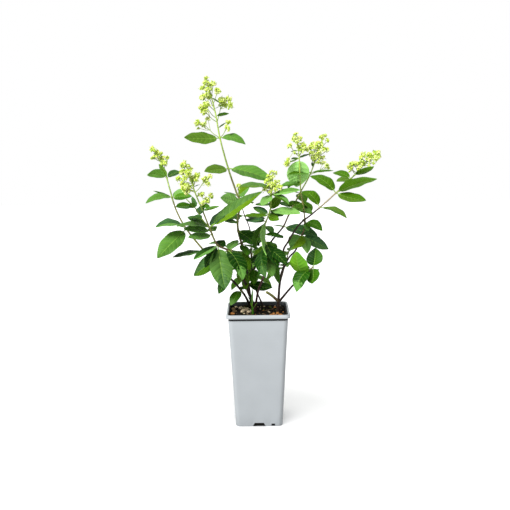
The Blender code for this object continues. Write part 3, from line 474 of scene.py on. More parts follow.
# Small leaves that stand in the heads, in the form of the leaf rows
BRACTS = {
    "tall_top": [(84, 2, 10, 27, 30, 46, "dark"), (87, 8, 22, 19, 0, 42, "mid"),
        (91.5, -5, -32, 19, 30, 34, "deep"), (79, -25, 30, 22, 20, 22, "dark")],
    "far_left": [(92, -170, 25, 14, 0, 45, "deep"), (87, -150, 45, 10, 20, 45, "mid")],
    "upper_right": [(88, 178, -5, 16, 30, 36, "bright"), (83, 190, -22, 36, 0, 20, "bright")],
    "back_right": [(83, -120, 60, 12, 0, 50, "deep"), (85, 5, 30, 22, 0, 40, "mid")],
    "far_right": [(90, 160, 30, 12, 0, 40, "deep")],
    "left": [(88, -20, 60, 14, 0, 45, "mid"), (86, 10, 20, 14, 20, 40, "dark")],
    "centre": [(86, -160, 35, 14, 0, 40, "bright"), (89, 175, 2, 20, 30, 35, "deep")],
}

# What stands out on the soil: chips as (x, y, size, look), and dry twigs as their two ends and look.
# Places are in millimetres and sizes in tenths of a millimetre.
SOIL_PIECES = [(-36, 36, 62, "chip"), (-29, 13, 70, "chip"), (-23, 30, 62, "chip"), (-19, 3, 60, "chip"),
    (-28, 50, 50, "fibre"), (-33, 2, 54, "chip"), (-28, 40, 50, "chip"), (-31, 24, 56, "chip"),
    (-24, 16, 50, "chip"), (-24, -6, 38, "fibre"), (-52, 22, 60, "fibre"), (-53, -12, 56, "rust"),
    (-49, 8, 52, "fibre"), (-50, 36, 50, "fibre"), (-47, 50, 40, "chip"), (-46, 6, 40, "fibre"),
    (1, 50, 30, "chip"), (5, 53, 28, "chip"), (23, 50, 34, "fibre"), (27, 44, 34, "moss"),
    (32, 26, 46, "fibre"), (37, 40, 44, "rust"), (33, -21, 62, "rust"), (41, -12, 56, "rust"),
    (46, -26, 50, "rust"), (27, -29, 46, "rust"), (38, -34, 50, "rust"), (12, -20, 34, "fibre"),
    (-6, -40, 34, "fibre"), (12, 20, 34, "moss"), (-40, -36, 40, "humus"), (-12, 20, 36, "moss"),
    (50, 20, 36, "fibre"), (18, 8, 30, "fibre")]
SOIL_TWIGS = [((-34, 48), (-22, 54), "moss"), ((8, 10), (30, 20), "fibre"),
    ((-24, -20), (-10, -32), "fibre"), ((-14, 8), (-18, 20), "chip"), ((24, 46), (28, 52), "fibre")]

# Colours, as linear shares of red, green and blue
BARK = {
    "dark": (0.022, 0.013, 0.009),
    "wine": (0.034, 0.013, 0.012),
    "brown": (0.085, 0.058, 0.026),
    "olive": (0.135, 0.135, 0.04),
    "green": (0.17, 0.25, 0.045),
    "lime": (0.26, 0.36, 0.06),
    "tan": (0.24, 0.2, 0.12),
}
# Leaf greens. Besides the leaves' own differences, the steps from deep to pale also stand for how lit or
# shaded a leaf, half or tip is: lit and shaded copies of the leaf green, painted light and shade.
GREENS = {
    # Painted light: a pale green for a leaf as it looks with light shining through it from behind.
    "glow": (0.16, 0.28, 0.115),
    "deep": (0.0045, 0.027, 0.0012),
    "dark": (0.0095, 0.044, 0.0022),
    "mid": (0.023, 0.076, 0.002),
    "moss": (0.033, 0.086, 0.0012),
    "bright": (0.04, 0.115, 0.002),
    "fresh": (0.06, 0.138, 0.025),
    "mild": (0.04, 0.098, 0.015),
    "light": (0.076, 0.17, 0.043),
    "pale": (0.13, 0.245, 0.078),
    "teal": (0.028, 0.076, 0.033),
    # The sheen and grey looks are leaf green with a painted sheen: the greyish gloss of light off the blade,
    # put in the colour.
    "sheen": (0.032, 0.078, 0.024),
    "grey": (0.054, 0.115, 0.029),
    "sage": (0.056, 0.106, 0.013),
    "olive": (0.048, 0.105, 0.0025),
    "yellow": (0.075, 0.14, 0.002),
}
BUDS = {
    "lime": (0.41, 0.54, 0.05),
    "cream": (0.6, 0.67, 0.25),
    "green": (0.2, 0.32, 0.018),
    "blush": (0.5, 0.45, 0.18),
}
CRUMB_LOOKS = {
    "peat": (0.006, 0.0045, 0.003),
    "humus": (0.01, 0.0072, 0.0048),
    "fibre": (0.055, 0.036, 0.017),
    "chip": (0.43, 0.34, 0.225),
    "rust": (0.23, 0.095, 0.025),
    "moss": (0.05, 0.08, 0.012),
}
POT_LOOKS = {
    "outside": (0.245, 0.262, 0.274),
    # The inside look is soil stain and painted shade: the inner wall is darkened as though in shadow.
    "inside": (0.024, 0.028, 0.029),
    # The groove look is painted shade: the dark of the shadow under the rim.
    "groove": (0.012, 0.015, 0.016),
    # The drain and slot looks are painted shade: the notches and slots are darkened as though in shadow.
    "drain": (0.06, 0.064, 0.066),
    "slot": (0.01, 0.011, 0.012),
}
# The pot's colour darkens to this share at its foot: painted shade.
FOOT_PAINTED_SHADE = 0.9
LEAF_TINT = (0.93, 1.04, 0.72)
RIB = (0.16, 0.25, 0.05)
RIB_ROUGHNESS = 0.5
RIB_MIX = 0.5
VEIN_MIX = 0.3
UNDERSIDE = (0.2, 0.33, 0.06)
UNDERSIDE_SHARE = 0.18
# Undersides are made this many times lighter than their green: painted light, in place of the key that does
# not reach them and of light shining through.
UNDERSIDE_PAINTED_LIGHT = 2.0
UNDERSIDE_ROUGHNESS = 0.6
NET_SCALE = 620.0
NET_BUMP = (0.15, 0.0004)
GRAIN_SCALE = 1500.0
GRAIN_BUMP = (0.15, 0.0003)

# Families of materials: roughness, specular, scale and detail of a noise, what the colour is multiplied
# by at places of the noise, and the strength and distance of a bump
FAMILIES = {
    "leaf": (0.45, 0.06, 55.0, 2.0, ((0.3, 0.88), (0.52, 1.0), (0.74, 1.14)), None),
    "bark": (0.6, 0.15, 380.0, 4.0, ((0.32, 0.6), (0.52, 1.0), (0.72, 1.55)), (0.5, 0.0005)),
    "bud": (0.5, 0.2, 700.0, 2.0, ((0.3, 0.72), (0.55, 1.0), (0.75, 1.12)), None),
    "soil": (0.92, 0.08, 900.0, 5.0, ((0.3, 0.45), (0.52, 1.0), (0.75, 1.9)), (0.8, 0.001)),
    "pot": (0.48, 0.25, 22.0, 4.0, ((0.3, 0.965), (0.7, 1.025)), None),
}


# Meshes
def add_object(name, data):
    obj = bpy.data.objects.new(name, data)
    bpy.context.scene.collection.objects.link(obj)
    return obj


def mesh_object(name, points, faces, materials, slots=(0,)):
    mesh = bpy.data.meshes.new(name)
    mesh.from_pydata(points, [], faces)
    for material in materials:
        mesh.materials.append(material)
    mesh.polygons.foreach_set("material_index", slots)
    return add_object(name, mesh)


class Heap:
    """Gathers shapes of one kind, which become one mesh with a material for each look."""

    def __init__(self):
        self.points = []
        self.faces = []
        self.slots = []
        self.looks = []
        self.count = 0

    def add(self, points, faces, looks):
        """looks is one name, or one name for each face."""
        points = np.asarray(points, float)
        self.points.append(points)
        self.faces += [tuple(int(i) + self.count for i in face) for face in faces]
        if isinstance(looks, str):
            looks = [looks] * len(faces)
        for look in looks:
            if look not in self.looks:
                self.looks.append(look)
            self.slots.append(self.looks.index(look))
        self.count += len(points)

    def build(self, name, materials, prefix="", angle=SHARP):
        """The mesh as an object. The prefix is that of its family among the materials."""
        chosen = [materials[prefix + look] for look in self.looks]
        obj = mesh_object(name, np.vstack(self.points).tolist(), self.faces, chosen, self.slots)
        obj.data.update()
        obj.data.shade_smooth()
        obj.data.set_sharp_from_angle(angle=math.radians(angle))
        return obj


def ball(steps):
    """Points and faces of a round ball of radius 1."""
    mesh = bmesh.new()
    bmesh.ops.create_icosphere(mesh, subdivisions=steps, radius=1.0)
    points = np.array([v.co for v in mesh.verts])
    faces = [tuple(v.index for v in f.verts) for f in mesh.faces]
    mesh.free()
    return points, faces


BALL = ball(2)
SMALL_BALL = ball(1)


def tube_faces(rings, sides):
    """Faces between rings of equal size, then the cap of the first ring and that of the last."""
    faces = []
    for low in range(0, (rings - 1) * sides, sides):
        for k in range(sides):
            nxt = (k + 1) % sides
            faces.append((low + k, low + nxt, low + sides + nxt, low + sides + k))
    faces.append(tuple(reversed(range(sides))))
    faces.append(tuple(range((rings - 1) * sides, rings * sides)))
    return faces


def unit(vector):
    return vector / np.linalg.norm(vector)


def frame_along(way):
    """Two directions square to the way and to each other."""
    way = Vector(way)
    side = way.orthogonal().normalized()
    return np.array(side), np.array(way.cross(side).normalized())


def around(side, other, turn):
    """The way that lies a turn from the side towards the other way."""
    return side * math.cos(turn) + other * math.sin(turn)


def carried(side, along):
    """The side of the last ring turned square to the new way, or a first side."""
    return frame_along(along)[0] if side is None else unit(side - along * side.dot(along))


def heading_vector(heading, rise):
    flat = math.cos(math.radians(rise))
    turn = math.radians(heading)
    return np.array([flat * math.cos(turn), flat * math.sin(turn), math.sin(math.radians(rise))])


def pick(rng, odds):
    """One of the looks, drawn by their odds."""
    return str(rng.choice(list(odds), p=list(odds.values())))


def metres(points):
    """Points that the tables give in millimetres."""
    return [tuple(c / 1000 for c in point) for point in points]


# Limbs
def smooth_line(points, count_per_span=10):
    """Points of a Catmull-Rom curve through the given ones."""
    knots = [np.array(p, float) for p in points]
    line = []
    for i in range(len(knots) - 1):
        before = knots[max(i - 1, 0)]
        a = knots[i]
        b = knots[i + 1]
        after = knots[min(i + 2, len(knots) - 1)]
        for k in range(count_per_span):
            t = k / count_per_span
            line.append(0.5 * (2 * a + (b - before) * t
                               + (2 * before - 5 * a + 4 * b - after) * t * t
                               + (3 * a - before - 3 * b + after) * t ** 3))
    line.append(knots[-1])
    return np.array(line)


class Limb:
    """A tapering centre line that can be read at any share of its length."""

    def __init__(self, points, foot, tip, looks):
        self.line = smooth_line(points)
        steps = np.linalg.norm(np.diff(self.line, axis=0), axis=1)
        run = np.concatenate([[0.0], np.cumsum(steps)])
        self.length = run[-1]
        self.share = run / run[-1]
        self.foot = foot
        self.tip = tip
        self.looks = looks

    def at(self, share):
        return np.array([np.interp(share, self.share, self.line[:, k]) for k in range(3)])

    def radius(self, share):
        return BARK_SWELL * (self.foot + (self.tip - self.foot) * share)

    def direction(self, share):
        ahead = self.at(min(share + DIRECTION_REACH, 1.0))
        return unit(ahead - self.at(max(share - DIRECTION_REACH, 0.0)))

    def look(self, share):
        """The look of the bark there. The last one holds to the tip."""
        for name, end in self.looks.items():
            if share <= end / 100:
                break
        return name


def bark(heap, limb, start, end, knots, rng, rooted=False, sides=BARK_SIDES):
    """A tapering limb with ridges, grain and a swelling at each knot."""
    rings = max(LEAST_RINGS, int((end - start) * limb.length / RING_STEP))
    turns = np.arange(sides) * 2 * math.pi / sides
    side = None
    points = []
    looks = []
    for i, share in enumerate(np.linspace(start, end, rings)):
        along = limb.direction(share)
        side = carried(side, along)
        other = np.cross(along, side)
        centre = limb.at(share)
        radius = limb.radius(share)
        swell = sum(math.exp(-((share - k) * limb.length / NODE_REACH) ** 2) for k in knots)
        radius *= 1 + NODE_SWELL * min(swell, 1.0)
        if rooted:
            radius *= 1 + FOOT_SWELL * math.exp(-share * limb.length / FOOT_REACH)
            if i == 0:
                centre = centre - np.array([0.0, 0.0, FOOT_SINK])
        for turn in turns:
            out = around(side, other, turn)
            grain = noise.noise(Vector((centre + out * radius) * KNURL_NOISE))
            bend = RIDGE_WANDER * noise.noise(Vector(centre * RIDGE_NOISE))
            wave = math.sin(RIDGES * turn + bend)
            points.append(centre + out * radius * (1 + RIDGE_DEPTH * wave + KNURL_DEPTH * grain))
        if i:
            dithered = share + rng.uniform(-LOOK_BLEND, LOOK_BLEND, sides)
            looks += [limb.look(s) for s in dithered]
    heap.add(points, tube_faces(rings, sides), looks + [limb.look(start), limb.look(end)])


def thread(heap, line, radii, look, sides=5):
    """A thin round stalk along a line of points."""
    line = [np.asarray(p, float) for p in line]
    points = []
    side = None
    for i, centre in enumerate(line):
        along = unit(line[min(i + 1, len(line) - 1)] - line[max(i - 1, 0)])
        side = carried(side, along)
        other = np.cross(along, side)
        for k in range(sides):
            points.append(centre + around(side, other, 2 * math.pi * k / sides) * radii[i])
    heap.add(points, tube_faces(len(line), sides), look)


# Leaves: side veins stand at even steps, and what is left at the tip is a little longer
VEIN_SPAN = VEIN_PAIRS + 0.7
VEINS = np.array([(k + 0.5) / VEIN_SPAN for k in range(VEIN_PAIRS)])


def leaf_grid():
    """Rows along a leaf and columns across it, with a pair of rows at each side vein."""
    rows = [*END_ROWS[0]]
    for vein in VEINS:
        rows += [vein - VEIN_BAND / 2, vein + VEIN_BAND / 2]
        rows += [vein + 1 / VEIN_SPAN * part for part in ROWS_BETWEEN_VEINS]
    rows += END_ROWS[1]
    left = [-column for column in reversed(HALF_COLUMNS)]
    return np.array(rows), np.array([*left, *HALF_COLUMNS])


ROWS, COLUMNS = leaf_grid()


def leaf_topology():
    """Faces of a closed blade, an upper and a lower grid that share their rim, and what each shows."""
    size = (len(ROWS), len(COLUMNS))
    inner = (size[0] - 2, size[1] - 2)
    upper = np.arange(size[0] * size[1]).reshape(size)
    lower = upper.copy()
    lower[1:-1, 1:-1] = upper.size + np.arange(inner[0] * inner[1]).reshape(inner)
    above = []
    below = []
    middle = size[1] // 2 - 1
    for i in range(size[0] - 1):
        on_vein = any(ROWS[i] <= vein <= ROWS[i + 1] for vein in VEINS)
        for j in range(size[1] - 1):
            kind = "_rib" if j == middle else ("_vein" if on_vein else "")
            above.append(((upper[i, j], upper[i, j + 1], upper[i + 1, j + 1], upper[i + 1, j]),
                          (kind, j > middle, ROWS[i])))
            below.append(((lower[i, j], lower[i + 1, j], lower[i + 1, j + 1], lower[i, j + 1]),
                          ("_under", j > middle, ROWS[i])))
    return zip(*above, *below)


LEAF_FACES, LEAF_KINDS = leaf_topology()


def bow_height(arch, length, share):
    """How high the middle line of a leaf stands there: a parabola from foot to tip."""
    return arch * length * 4 * share * (1 - share)


def leaf_surface(length, width, arch, fold, wave, phase, twist):
    """How far the points of a blade lie along, across and up from its root, in metres."""
    row, column = np.meshgrid(ROWS, COLUMNS, indexing="ij")
    spread = np.abs(column)
    t = np.clip(row + VEIN_SWEEP * spread ** SWEEP_POWER * np.sin(math.pi * row), 0, 1)
    profile = np.abs(np.sin(math.pi * t ** BLADE_SKEW)) ** BLADE_FULLNESS * (1 - TIP_DRAW * t ** TIP_POWER)
    profile = np.maximum(profile, LEAST_WIDTH)
    teeth = np.where(np.arange(len(ROWS)) % 2 == 0, 1.0, -1.0)[:, None] * (spread > EDGE_COLUMN)
    half = length * width / 2
    notches = np.sign(column) * teeth * SERRATION * length * np.sin(math.pi * row)
    across = column * half * profile + notches
    share = PETIOLE_SHARE + (1 - PETIOLE_SHARE) * t
    near = np.min(np.abs(row[..., None] - VEINS), axis=-1)
    between = np.clip(near / (1 / VEIN_SPAN / 2), 0, 1)
    swell = np.sin(math.pi * np.clip(row, 0, 1)) ** 0.5
    relief = -GROOVE_DEPTH * np.exp(-(spread / GROOVE_REACH) ** 2)
    relief += swell * (QUILT * np.sin(between * math.pi / 2) * np.sin(math.pi * spread ** QUILT_POWER)
                       - VEIN_DEPTH * (near <= VEIN_BAND) * (1 - spread ** VEIN_POWER))
    lift = fold * (spread - FOLD_EASE * spread ** FOLD_POWER) * half * profile
    ripple = wave * np.sin(2 * math.pi * RIPPLES * t + phase + column) * spread ** 2 * half * profile
    bow = bow_height(arch, length, share)
    up = bow + relief * length + lift + ripple
    turn = twist * (t - TWIST_CENTRE)
    return share * length, across * np.cos(turn) - (up - bow) * np.sin(turn), up + across * np.sin(turn)


def leaf_axes(heading, rise, roll):
    """The ways along, across and up from a blade."""
    along = heading_vector(heading, rise)
    side = unit(np.array([-along[1], along[0], 0.0]))
    normal = np.cross(along, side)
    if normal[2] < 0:
        normal = -normal
    turn = math.radians(roll)
    return along, around(side, -normal, turn), around(normal, side, turn)


def leaf(heap, root, row, rng):
    """One leaf: its stalk, its blade with sunk veins above, and the rib that stands out below."""
    _, heading, rise, length, roll, width, looks, *bow = row
    length = length / 1000
    along, across, up = leaf_axes(heading, rise, roll)
    arch = (bow[0] / 100 if bow else LEAF_ARCH) * rng.uniform(*ARCH_RANGE)
    fold = LEAF_FOLD * rng.uniform(*FOLD_RANGE)
    wave = rng.uniform(*WAVE_RANGE)
    twist = rng.uniform(*TWIST_RANGE)
    a, b, c = leaf_surface(length, width / 100, arch, fold, wave, rng.uniform(0, ANY_TURN), twist)
    upper = root + a[..., None] * along + b[..., None] * across + c[..., None] * up
    lower = upper[1:-1, 1:-1] - up * (LEAF_THICKNESS * length)
    points = np.vstack([upper.reshape(-1, 3), lower.reshape(-1, 3)])
    # The halves and the tip may take lighter or darker looks than the rest: painted light and shade.
    looks, _, end = looks.partition(">")
    left, _, right = looks.partition("/")
    halves = {False: left, True: right or left}
    faces = LEAF_FACES
    if np.dot(np.cross(along, across), up) < 0:
        faces = [tuple(reversed(face)) for face in LEAF_FACES]
    shades = []
    for kind, is_right, at in LEAF_KINDS:
        in_tip = end and at + rng.uniform(-TIP_BLEND, TIP_BLEND) > TIP_START
        shades.append((end if in_tip else halves[is_right]) + kind)
    heap.add(points, faces, shades)
    line = []
    radii = []
    for share in PETIOLE_POINTS:
        sunk = LEAF_THICKNESS * length if share > PETIOLE_SHARE else 0.0
        groove = GROOVE_DEPTH * length * (share > PETIOLE_SHARE)
        height = bow_height(arch, length, share) - sunk - groove
        line.append(root + along * (share * length) + up * height)
        radii.append((PETIOLE_THICKNESS * length + PETIOLE_LEAST) * (1 - PETIOLE_TAPER * share))
    thread(heap, line, radii, "rib")


# Flower heads in bud
def bud(heap, centre, radius, way, rng):
    """A round waxy bud, slightly longer than wide."""
    points, faces = BALL if radius > FINE_BUD else SMALL_BALL
    side, other = frame_along(way)
    far = points[:, 2:] * np.asarray(way) * BUD_STRETCH
    shape = (points[:, :1] * side + points[:, 1:2] * other + far) * radius
    heap.add(centre + shape, faces, pick(rng, BUD_ODDS))


def blade(heap, root, way, wide, length, width, look):
    """A tiny pointed sepal or bracteole: six points round its middle, a root and a tip."""
    thin = np.cross(way, wide)
    middle = root + way * length * BLADE_MIDDLE
    ring = [middle + around(wide * width, thin * width * BLADE_FLATNESS, k * math.pi / 3) for k in range(6)]
    faces = [(0, (k + 1) % 6 + 2, k + 2) for k in range(6)] + [(1, k + 2, (k + 1) % 6 + 2) for k in range(6)]
    heap.add([root, root + way * length] + ring, faces, look)


def floret(heap, centre, way, rng):
    """A small flower that is just opening: four cupped sepals round a bud."""
    side, other = frame_along(way)
    first = rng.uniform(0, math.pi / 2)
    look = pick(rng, SEPAL_ODDS)
    for k in range(4):
        out = unit(around(side, other, first + k * math.pi / 2) + way * rng.uniform(*FLORET_CUP))
        size = SEPAL_LENGTH * rng.uniform(*SEPAL_RANGE)
        blade(heap, centre, out, unit(np.cross(out, way)), size, size * SEPAL_WIDTH, look)
    bud(heap, centre, BUD_RADIUS * HEART_SHARE, way, rng)


def tuft(heap, centre, radius, way, rng):
    """Buds on short stalks, with opening florets and narrow bracteoles among them."""
    for _ in range(BUDS_IN_TUFT):
        out = unit(rng.normal(size=3) + way * STALK_LEAN)
        end = centre + out * radius * rng.uniform(*STALK_RANGE)
        thread(heap, [centre, end], STALK_RADII, "lime", sides=3)
        draw = rng.uniform()
        if draw < FLORET_SHARE:
            floret(heap, end, out, rng)
        elif draw < FLORET_SHARE + BRACTEOLE_SHARE:
            side, _ = frame_along(out)
            blade(heap, end, out, side, rng.uniform(*BRACTEOLE_LENGTHS), BRACTEOLE_WIDTH, "green")
        else:
            bud(heap, end, BUD_RADIUS * rng.uniform(*BUD_RANGE), out, rng)


def cluster(buds, twigs, root, centre, radius, thick, look, rng):
    """A domed cluster at the end of a branch: twiglets that fan out from the branch, a tuft on each."""
    way = unit(centre - root)
    fork = centre - way * radius * FORK_BACK
    sag = np.array([0.0, 0.0, -BRANCH_SAG]) * np.linalg.norm(fork - root)
    bend = root + (fork - root) * 0.5 + sag
    thread(twigs, [root, bend, fork], [thick * share for share in BRANCH_TAPER], look)
    count = max(1, round((radius / TUFT_SPACING) ** 2 * TUFT_CROWDING))
    for k in range(count):
        end = centre
        if count > 1:
            high = 1 - DOME * (k + 0.5) / count
            flat = math.sqrt(max(0.0, 1 - high * high))
            out = way * high + around(*frame_along(way), k * GOLDEN_ANGLE) * flat
            reach = max(radius - TUFT_RADIUS, CLUSTER_LEAST * radius)
            end = centre + out * reach * rng.uniform(*CLUSTER_RANGE)
        thread(twigs, [fork, end], [TWIGLET_RADIUS, TWIGLET_RADIUS * TWIG_TAPER], "lime", sides=4)
        tuft(buds, end, min(TUFT_RADIUS, radius * TUFT_LIMIT), unit(end - fork + way * TUFT_LEAN), rng)


def flower_head(buds, twigs, limb, rows, rng):
    """The clusters of a head from the lowest up. Those of one height and side share a branch."""
    forks = {}
    for share, heading, rise, reach, radius in sorted(rows, key=lambda row: (row[0], -row[4])):
        stem = limb.at(share / 100)
        centre = stem + heading_vector(heading, rise) * (reach / 1000)
        side = (share, math.cos(math.radians(heading)) > 0)
        if side in forks and reach / 1000 > SHORT_REACH:
            cluster(buds, twigs, forks[side], centre, radius / 10000, FORK_RADIUS, "lime", rng)
        else:
            cluster(buds, twigs, stem, centre, radius / 10000, BRANCH_RADIUS, "green", rng)
            forks.setdefault(side, stem + (centre - stem) * FORK_SHARE)


# Pot and soil
def quarter_turn(quarter):
    return Matrix.Rotation(quarter * math.pi / 2, 3, "Z")


def rounded_square(half, radius, height):
    """A ring of points: the arc of each corner, then the points of the side that follows it."""
    flat = half - radius
    points = []
    for corner in range(4):
        for k in range(CORNER_STEPS + 1):
            bend = k * math.pi / 2 / CORNER_STEPS
            arc = (flat + radius * math.cos(bend), flat + radius * math.sin(bend), height)
            points.append(quarter_turn(corner) @ Vector(arc))
        for k in range(SIDE_POINTS):
            spot = 1 - 2 * (k + 1) / (SIDE_POINTS + 1)
            points.append(quarter_turn(corner) @ Vector((flat * spot, half, height)))
    return points


def stack_rings(rings):
    """Points and faces of stacked rings: the cap below, the walls, then the cap above."""
    *walls, below, above = tube_faces(len(rings), len(rings[0]))
    return [p for ring in rings for p in ring], [below, *walls, above]


def body_half(height):
    """Half the width of the pot's outside at a height under the rim."""
    return BODY_FOOT_HALF + (BODY_TOP_HALF - BODY_FOOT_HALF) * height / UNDER_RIM


def drain_cutter(materials):
    """The four notches and four slots round the pot's foot, as one mesh of eight blocks."""
    points = []
    faces = []
    notch = [(-NOTCH_WIDTH / 2, NOTCH_SKIN), (NOTCH_WIDTH / 2, NOTCH_SKIN),
             (NOTCH_WIDTH / 2, NOTCH_STRAIGHT), (NOTCH_TOP_WIDTH / 2, NOTCH_HEIGHT),
             (-NOTCH_TOP_WIDTH / 2, NOTCH_HEIGHT), (-NOTCH_WIDTH / 2, NOTCH_STRAIGHT)]
    slot = [(SLOT_OFFSET + x * SLOT_WIDTH / 2, SLOT_LEVEL + z * SLOT_HEIGHT)
            for x, z in ((-1, 0), (1, 0), (1, 1), (-1, 1))]
    looks = []
    outer = -BODY_FOOT_HALF - CUTTER_MARGIN
    for look, outline, depth in ((0, notch, NOTCH_DEPTH), (1, slot, SLOT_DEPTH)):
        inner = -BODY_FOOT_HALF + depth
        size = len(outline)
        for quarter in range(4):
            low = len(points)
            block = [quarter_turn(quarter) @ Vector((x, y, z)) for y in (outer, inner) for x, z in outline]
            points += [tuple(p) for p in block]
            faces.append(tuple(low + k for k in range(size)))
            faces.append(tuple(low + size + k for k in reversed(range(size))))
            faces += [(low + k, low + size + k, low + size + (k + 1) % size, low + (k + 1) % size)
                      for k in range(size)]
            looks += [look] * (size + 2)
    # Its faces give the cut the drain and slot looks: painted shade in the notches and slots.
    return mesh_object("drain_cutter", points, faces, [materials["drain"], materials["slot"]], looks)


def pot_profiles():
    """The outline of the pot as (half width, height), outside from the foot up, inside from the rim down."""
    shoulder = UNDER_RIM - GROOVE_HEIGHT
    neck = body_half(UNDER_RIM) - GROOVE_INSET
    body = shoulder - SHOULDER - BODY_START
    heights = [BODY_START + body * k / BODY_BANDS for k in range(BODY_BANDS + 1)]
    outside = [(BODY_FOOT_HALF - inset, up) for inset, up in FOOT_EDGE]
    outside += [(body_half(h), h) for h in heights]
    outside += [(body_half(shoulder) - SHOULDER * inset, shoulder - SHOULDER * down)
                for inset, down in SHOULDER_EDGE]
    outside += [(neck, shoulder + NECK_FOOT), (neck, UNDER_RIM + NECK_TOP)]
    outside += [(RIM_HALF - inset, UNDER_RIM + up) for inset, up in RIM_FOOT_EDGE]
    outside += [(RIM_HALF - inset, POT_HEIGHT - down) for inset, down in RIM_TOP_EDGE]
    inside = [(RIM_INNER_HALF + out, POT_HEIGHT - down) for out, down in LIP_EDGE]
    inside += [(body_half(h) - WALL, h) for h in (UNDER_RIM, *reversed(heights[1:]))]
    inside += [(BODY_FOOT_HALF - WALL, FLOOR)]
    return outside, inside, outside.index((neck, UNDER_RIM + NECK_TOP))


def make_pot(materials):
    """The tapering square pot with a hollow under its rim, its drains cut by one Boolean."""
    outside, inside, neck = pot_profiles()
    rings = [rounded_square(half, CORNER_RADIUS, height) for half, height in outside]
    rings += [rounded_square(half, CORNER_RADIUS - WALL, height) for half, height in inside]
    points, faces = stack_rings(rings)
    size = len(rings[0])
    # The inside faces from here on take the inside look: soil stain and painted shade.
    stain_and_shade_start = 1 + (len(outside) + 2) * size
    looks = ["outside"] * stain_and_shade_start + ["inside"] * (len(faces) - stain_and_shade_start)
    # The faces of the hollow under the rim take the groove look: painted shade.
    groove = 1 + (neck - 2) * size
    looks[groove:groove + 3 * size] = ["groove"] * (3 * size)
    heap = Heap()
    heap.add(points, faces, looks)
    pot = heap.build("pot_shell", materials, angle=POT_SHARP)
    cutter = drain_cutter(materials)
    cut = pot.modifiers.new("drains", "BOOLEAN")
    cut.operation = "DIFFERENCE"
    cut.object = cutter
    cut.solver = "EXACT"
    cut.material_mode = "TRANSFER"
    bpy.context.view_layer.update()
    seen = pot.evaluated_get(bpy.context.evaluated_depsgraph_get())
    mesh = bpy.data.meshes.new_from_object(seen)
    pot.modifiers.remove(cut)
    pot.data = mesh
    bpy.data.objects.remove(cutter, do_unlink=True)
    mesh.set_sharp_from_angle(angle=math.radians(POT_SHARP))
    return pot


def inside_half(height):
    """Half the width of the soil at a height, a small gap inside the pot's wall."""
    floor_half = BODY_FOOT_HALF - WALL
    top_half = body_half(UNDER_RIM) - WALL
    return floor_half + (top_half - floor_half) * (height - FLOOR) / (UNDER_RIM - FLOOR) - SOIL_GAP


def soil_height(x, y):
    """The uneven top of the soil: low hummocks with fine crumbs on them."""
    spot = Vector((x, y, 0.0))
    relief = sum(height * (noise.noise(spot * coarse) + share * noise.noise(spot * fine))
                 for height, coarse, share, fine in SOIL_WAVES)
    return SOIL_LEVEL - SOIL_SINK + SOIL_RELIEF * relief


def crumb(heap, x, y, size, look, rng):
    """A small rough lump, half sunk in the soil."""
    points, faces = SMALL_BALL if size < FINE_CRUMB else BALL
    stretch = rng.uniform(*CRUMB_STRETCH, 3) * np.array([1.0, 1.0, CRUMB_FLATNESS])
    dents = rng.uniform(-CRUMB_DENTS, CRUMB_DENTS, (len(points), 1))
    rough = points * (1 + dents) * stretch * size
    turn = np.array(Matrix.Rotation(rng.uniform(0, ANY_TURN), 3, "Z"))
    centre = np.array([x, y, soil_height(x, y) + size * CRUMB_LIFT])
    heap.add(rough @ turn.T + centre, faces, look)


def make_soil(materials, rng):
    """The potting soil: a block with a crumbly top, and crumbs, chips, moss and twigs on it."""
    heap = Heap()
    low = FLOOR + SOIL_GAP
    outline = rounded_square(inside_half(SOIL_LEVEL), CORNER_RADIUS - WALL, SOIL_LEVEL)
    rings = [rounded_square(inside_half(low), CORNER_RADIUS - WALL, low)]
    for share in np.linspace(1.0, SOIL_MIDDLE, SOIL_RINGS):
        rings.append([Vector((p.x * share, p.y * share, soil_height(p.x * share, p.y * share)))
                      for p in outline])
    heap.add(*stack_rings(rings), "peat")
    half = inside_half(SOIL_LEVEL) - CRUMB_MARGIN
    for _ in range(CRUMBS):
        x, y = rng.uniform(-half, half, 2)
        look = pick(rng, CRUMB_ODDS)
        crumb(heap, x, y, rng.uniform(*CRUMB_SIZES), look, rng)
    for x, y, size, look in SOIL_PIECES:
        crumb(heap, x / 1000, y / 1000, size / 10000, look, rng)
    for *ends, look in SOIL_TWIGS:
        line = [(x / 1000, y / 1000, soil_height(x / 1000, y / 1000) + lift)
                for (x, y), lift in zip(ends, TWIG_LIFTS)]
        thread(heap, line, TWIG_RADII, look)
    return heap.build("soil_bed", materials, "soil_", angle=SOIL_SHARP)


# Materials
def new_material(name, colour, roughness, specular):
    """A plain material, its node tree and its shader."""
    material = bpy.data.materials.new(name)
    material.use_nodes = True
    shader = material.node_tree.nodes["Principled BSDF"]
    shader.inputs["Base Color"].default_value = (*colour, 1.0)
    shader.inputs["Roughness"].default_value = roughness
    shader.inputs["Specular IOR Level"].default_value = specular
    return material, material.node_tree, shader


def texture(tree, kind, scale, detail=2.0):
    """A noise or cell pattern in metres of the object."""
    coordinates = tree.nodes.new("ShaderNodeTexCoord")
    node = tree.nodes.new(kind)
    node.inputs["Scale"].default_value = scale
    node.inputs["Detail"].default_value = detail
    tree.links.new(coordinates.outputs["Object"], node.inputs["Vector"])
    return node


def colour_ramp(tree, source, stops):
    ramp = tree.nodes.new("ShaderNodeValToRGB")
    while len(ramp.color_ramp.elements) < len(stops):
        ramp.color_ramp.elements.new(0.5)
    for element, (position, colour) in zip(ramp.color_ramp.elements, stops):
        element.position = position
        element.color = (*colour, 1.0)
    tree.links.new(source, ramp.inputs["Fac"])
    return ramp.outputs["Color"]


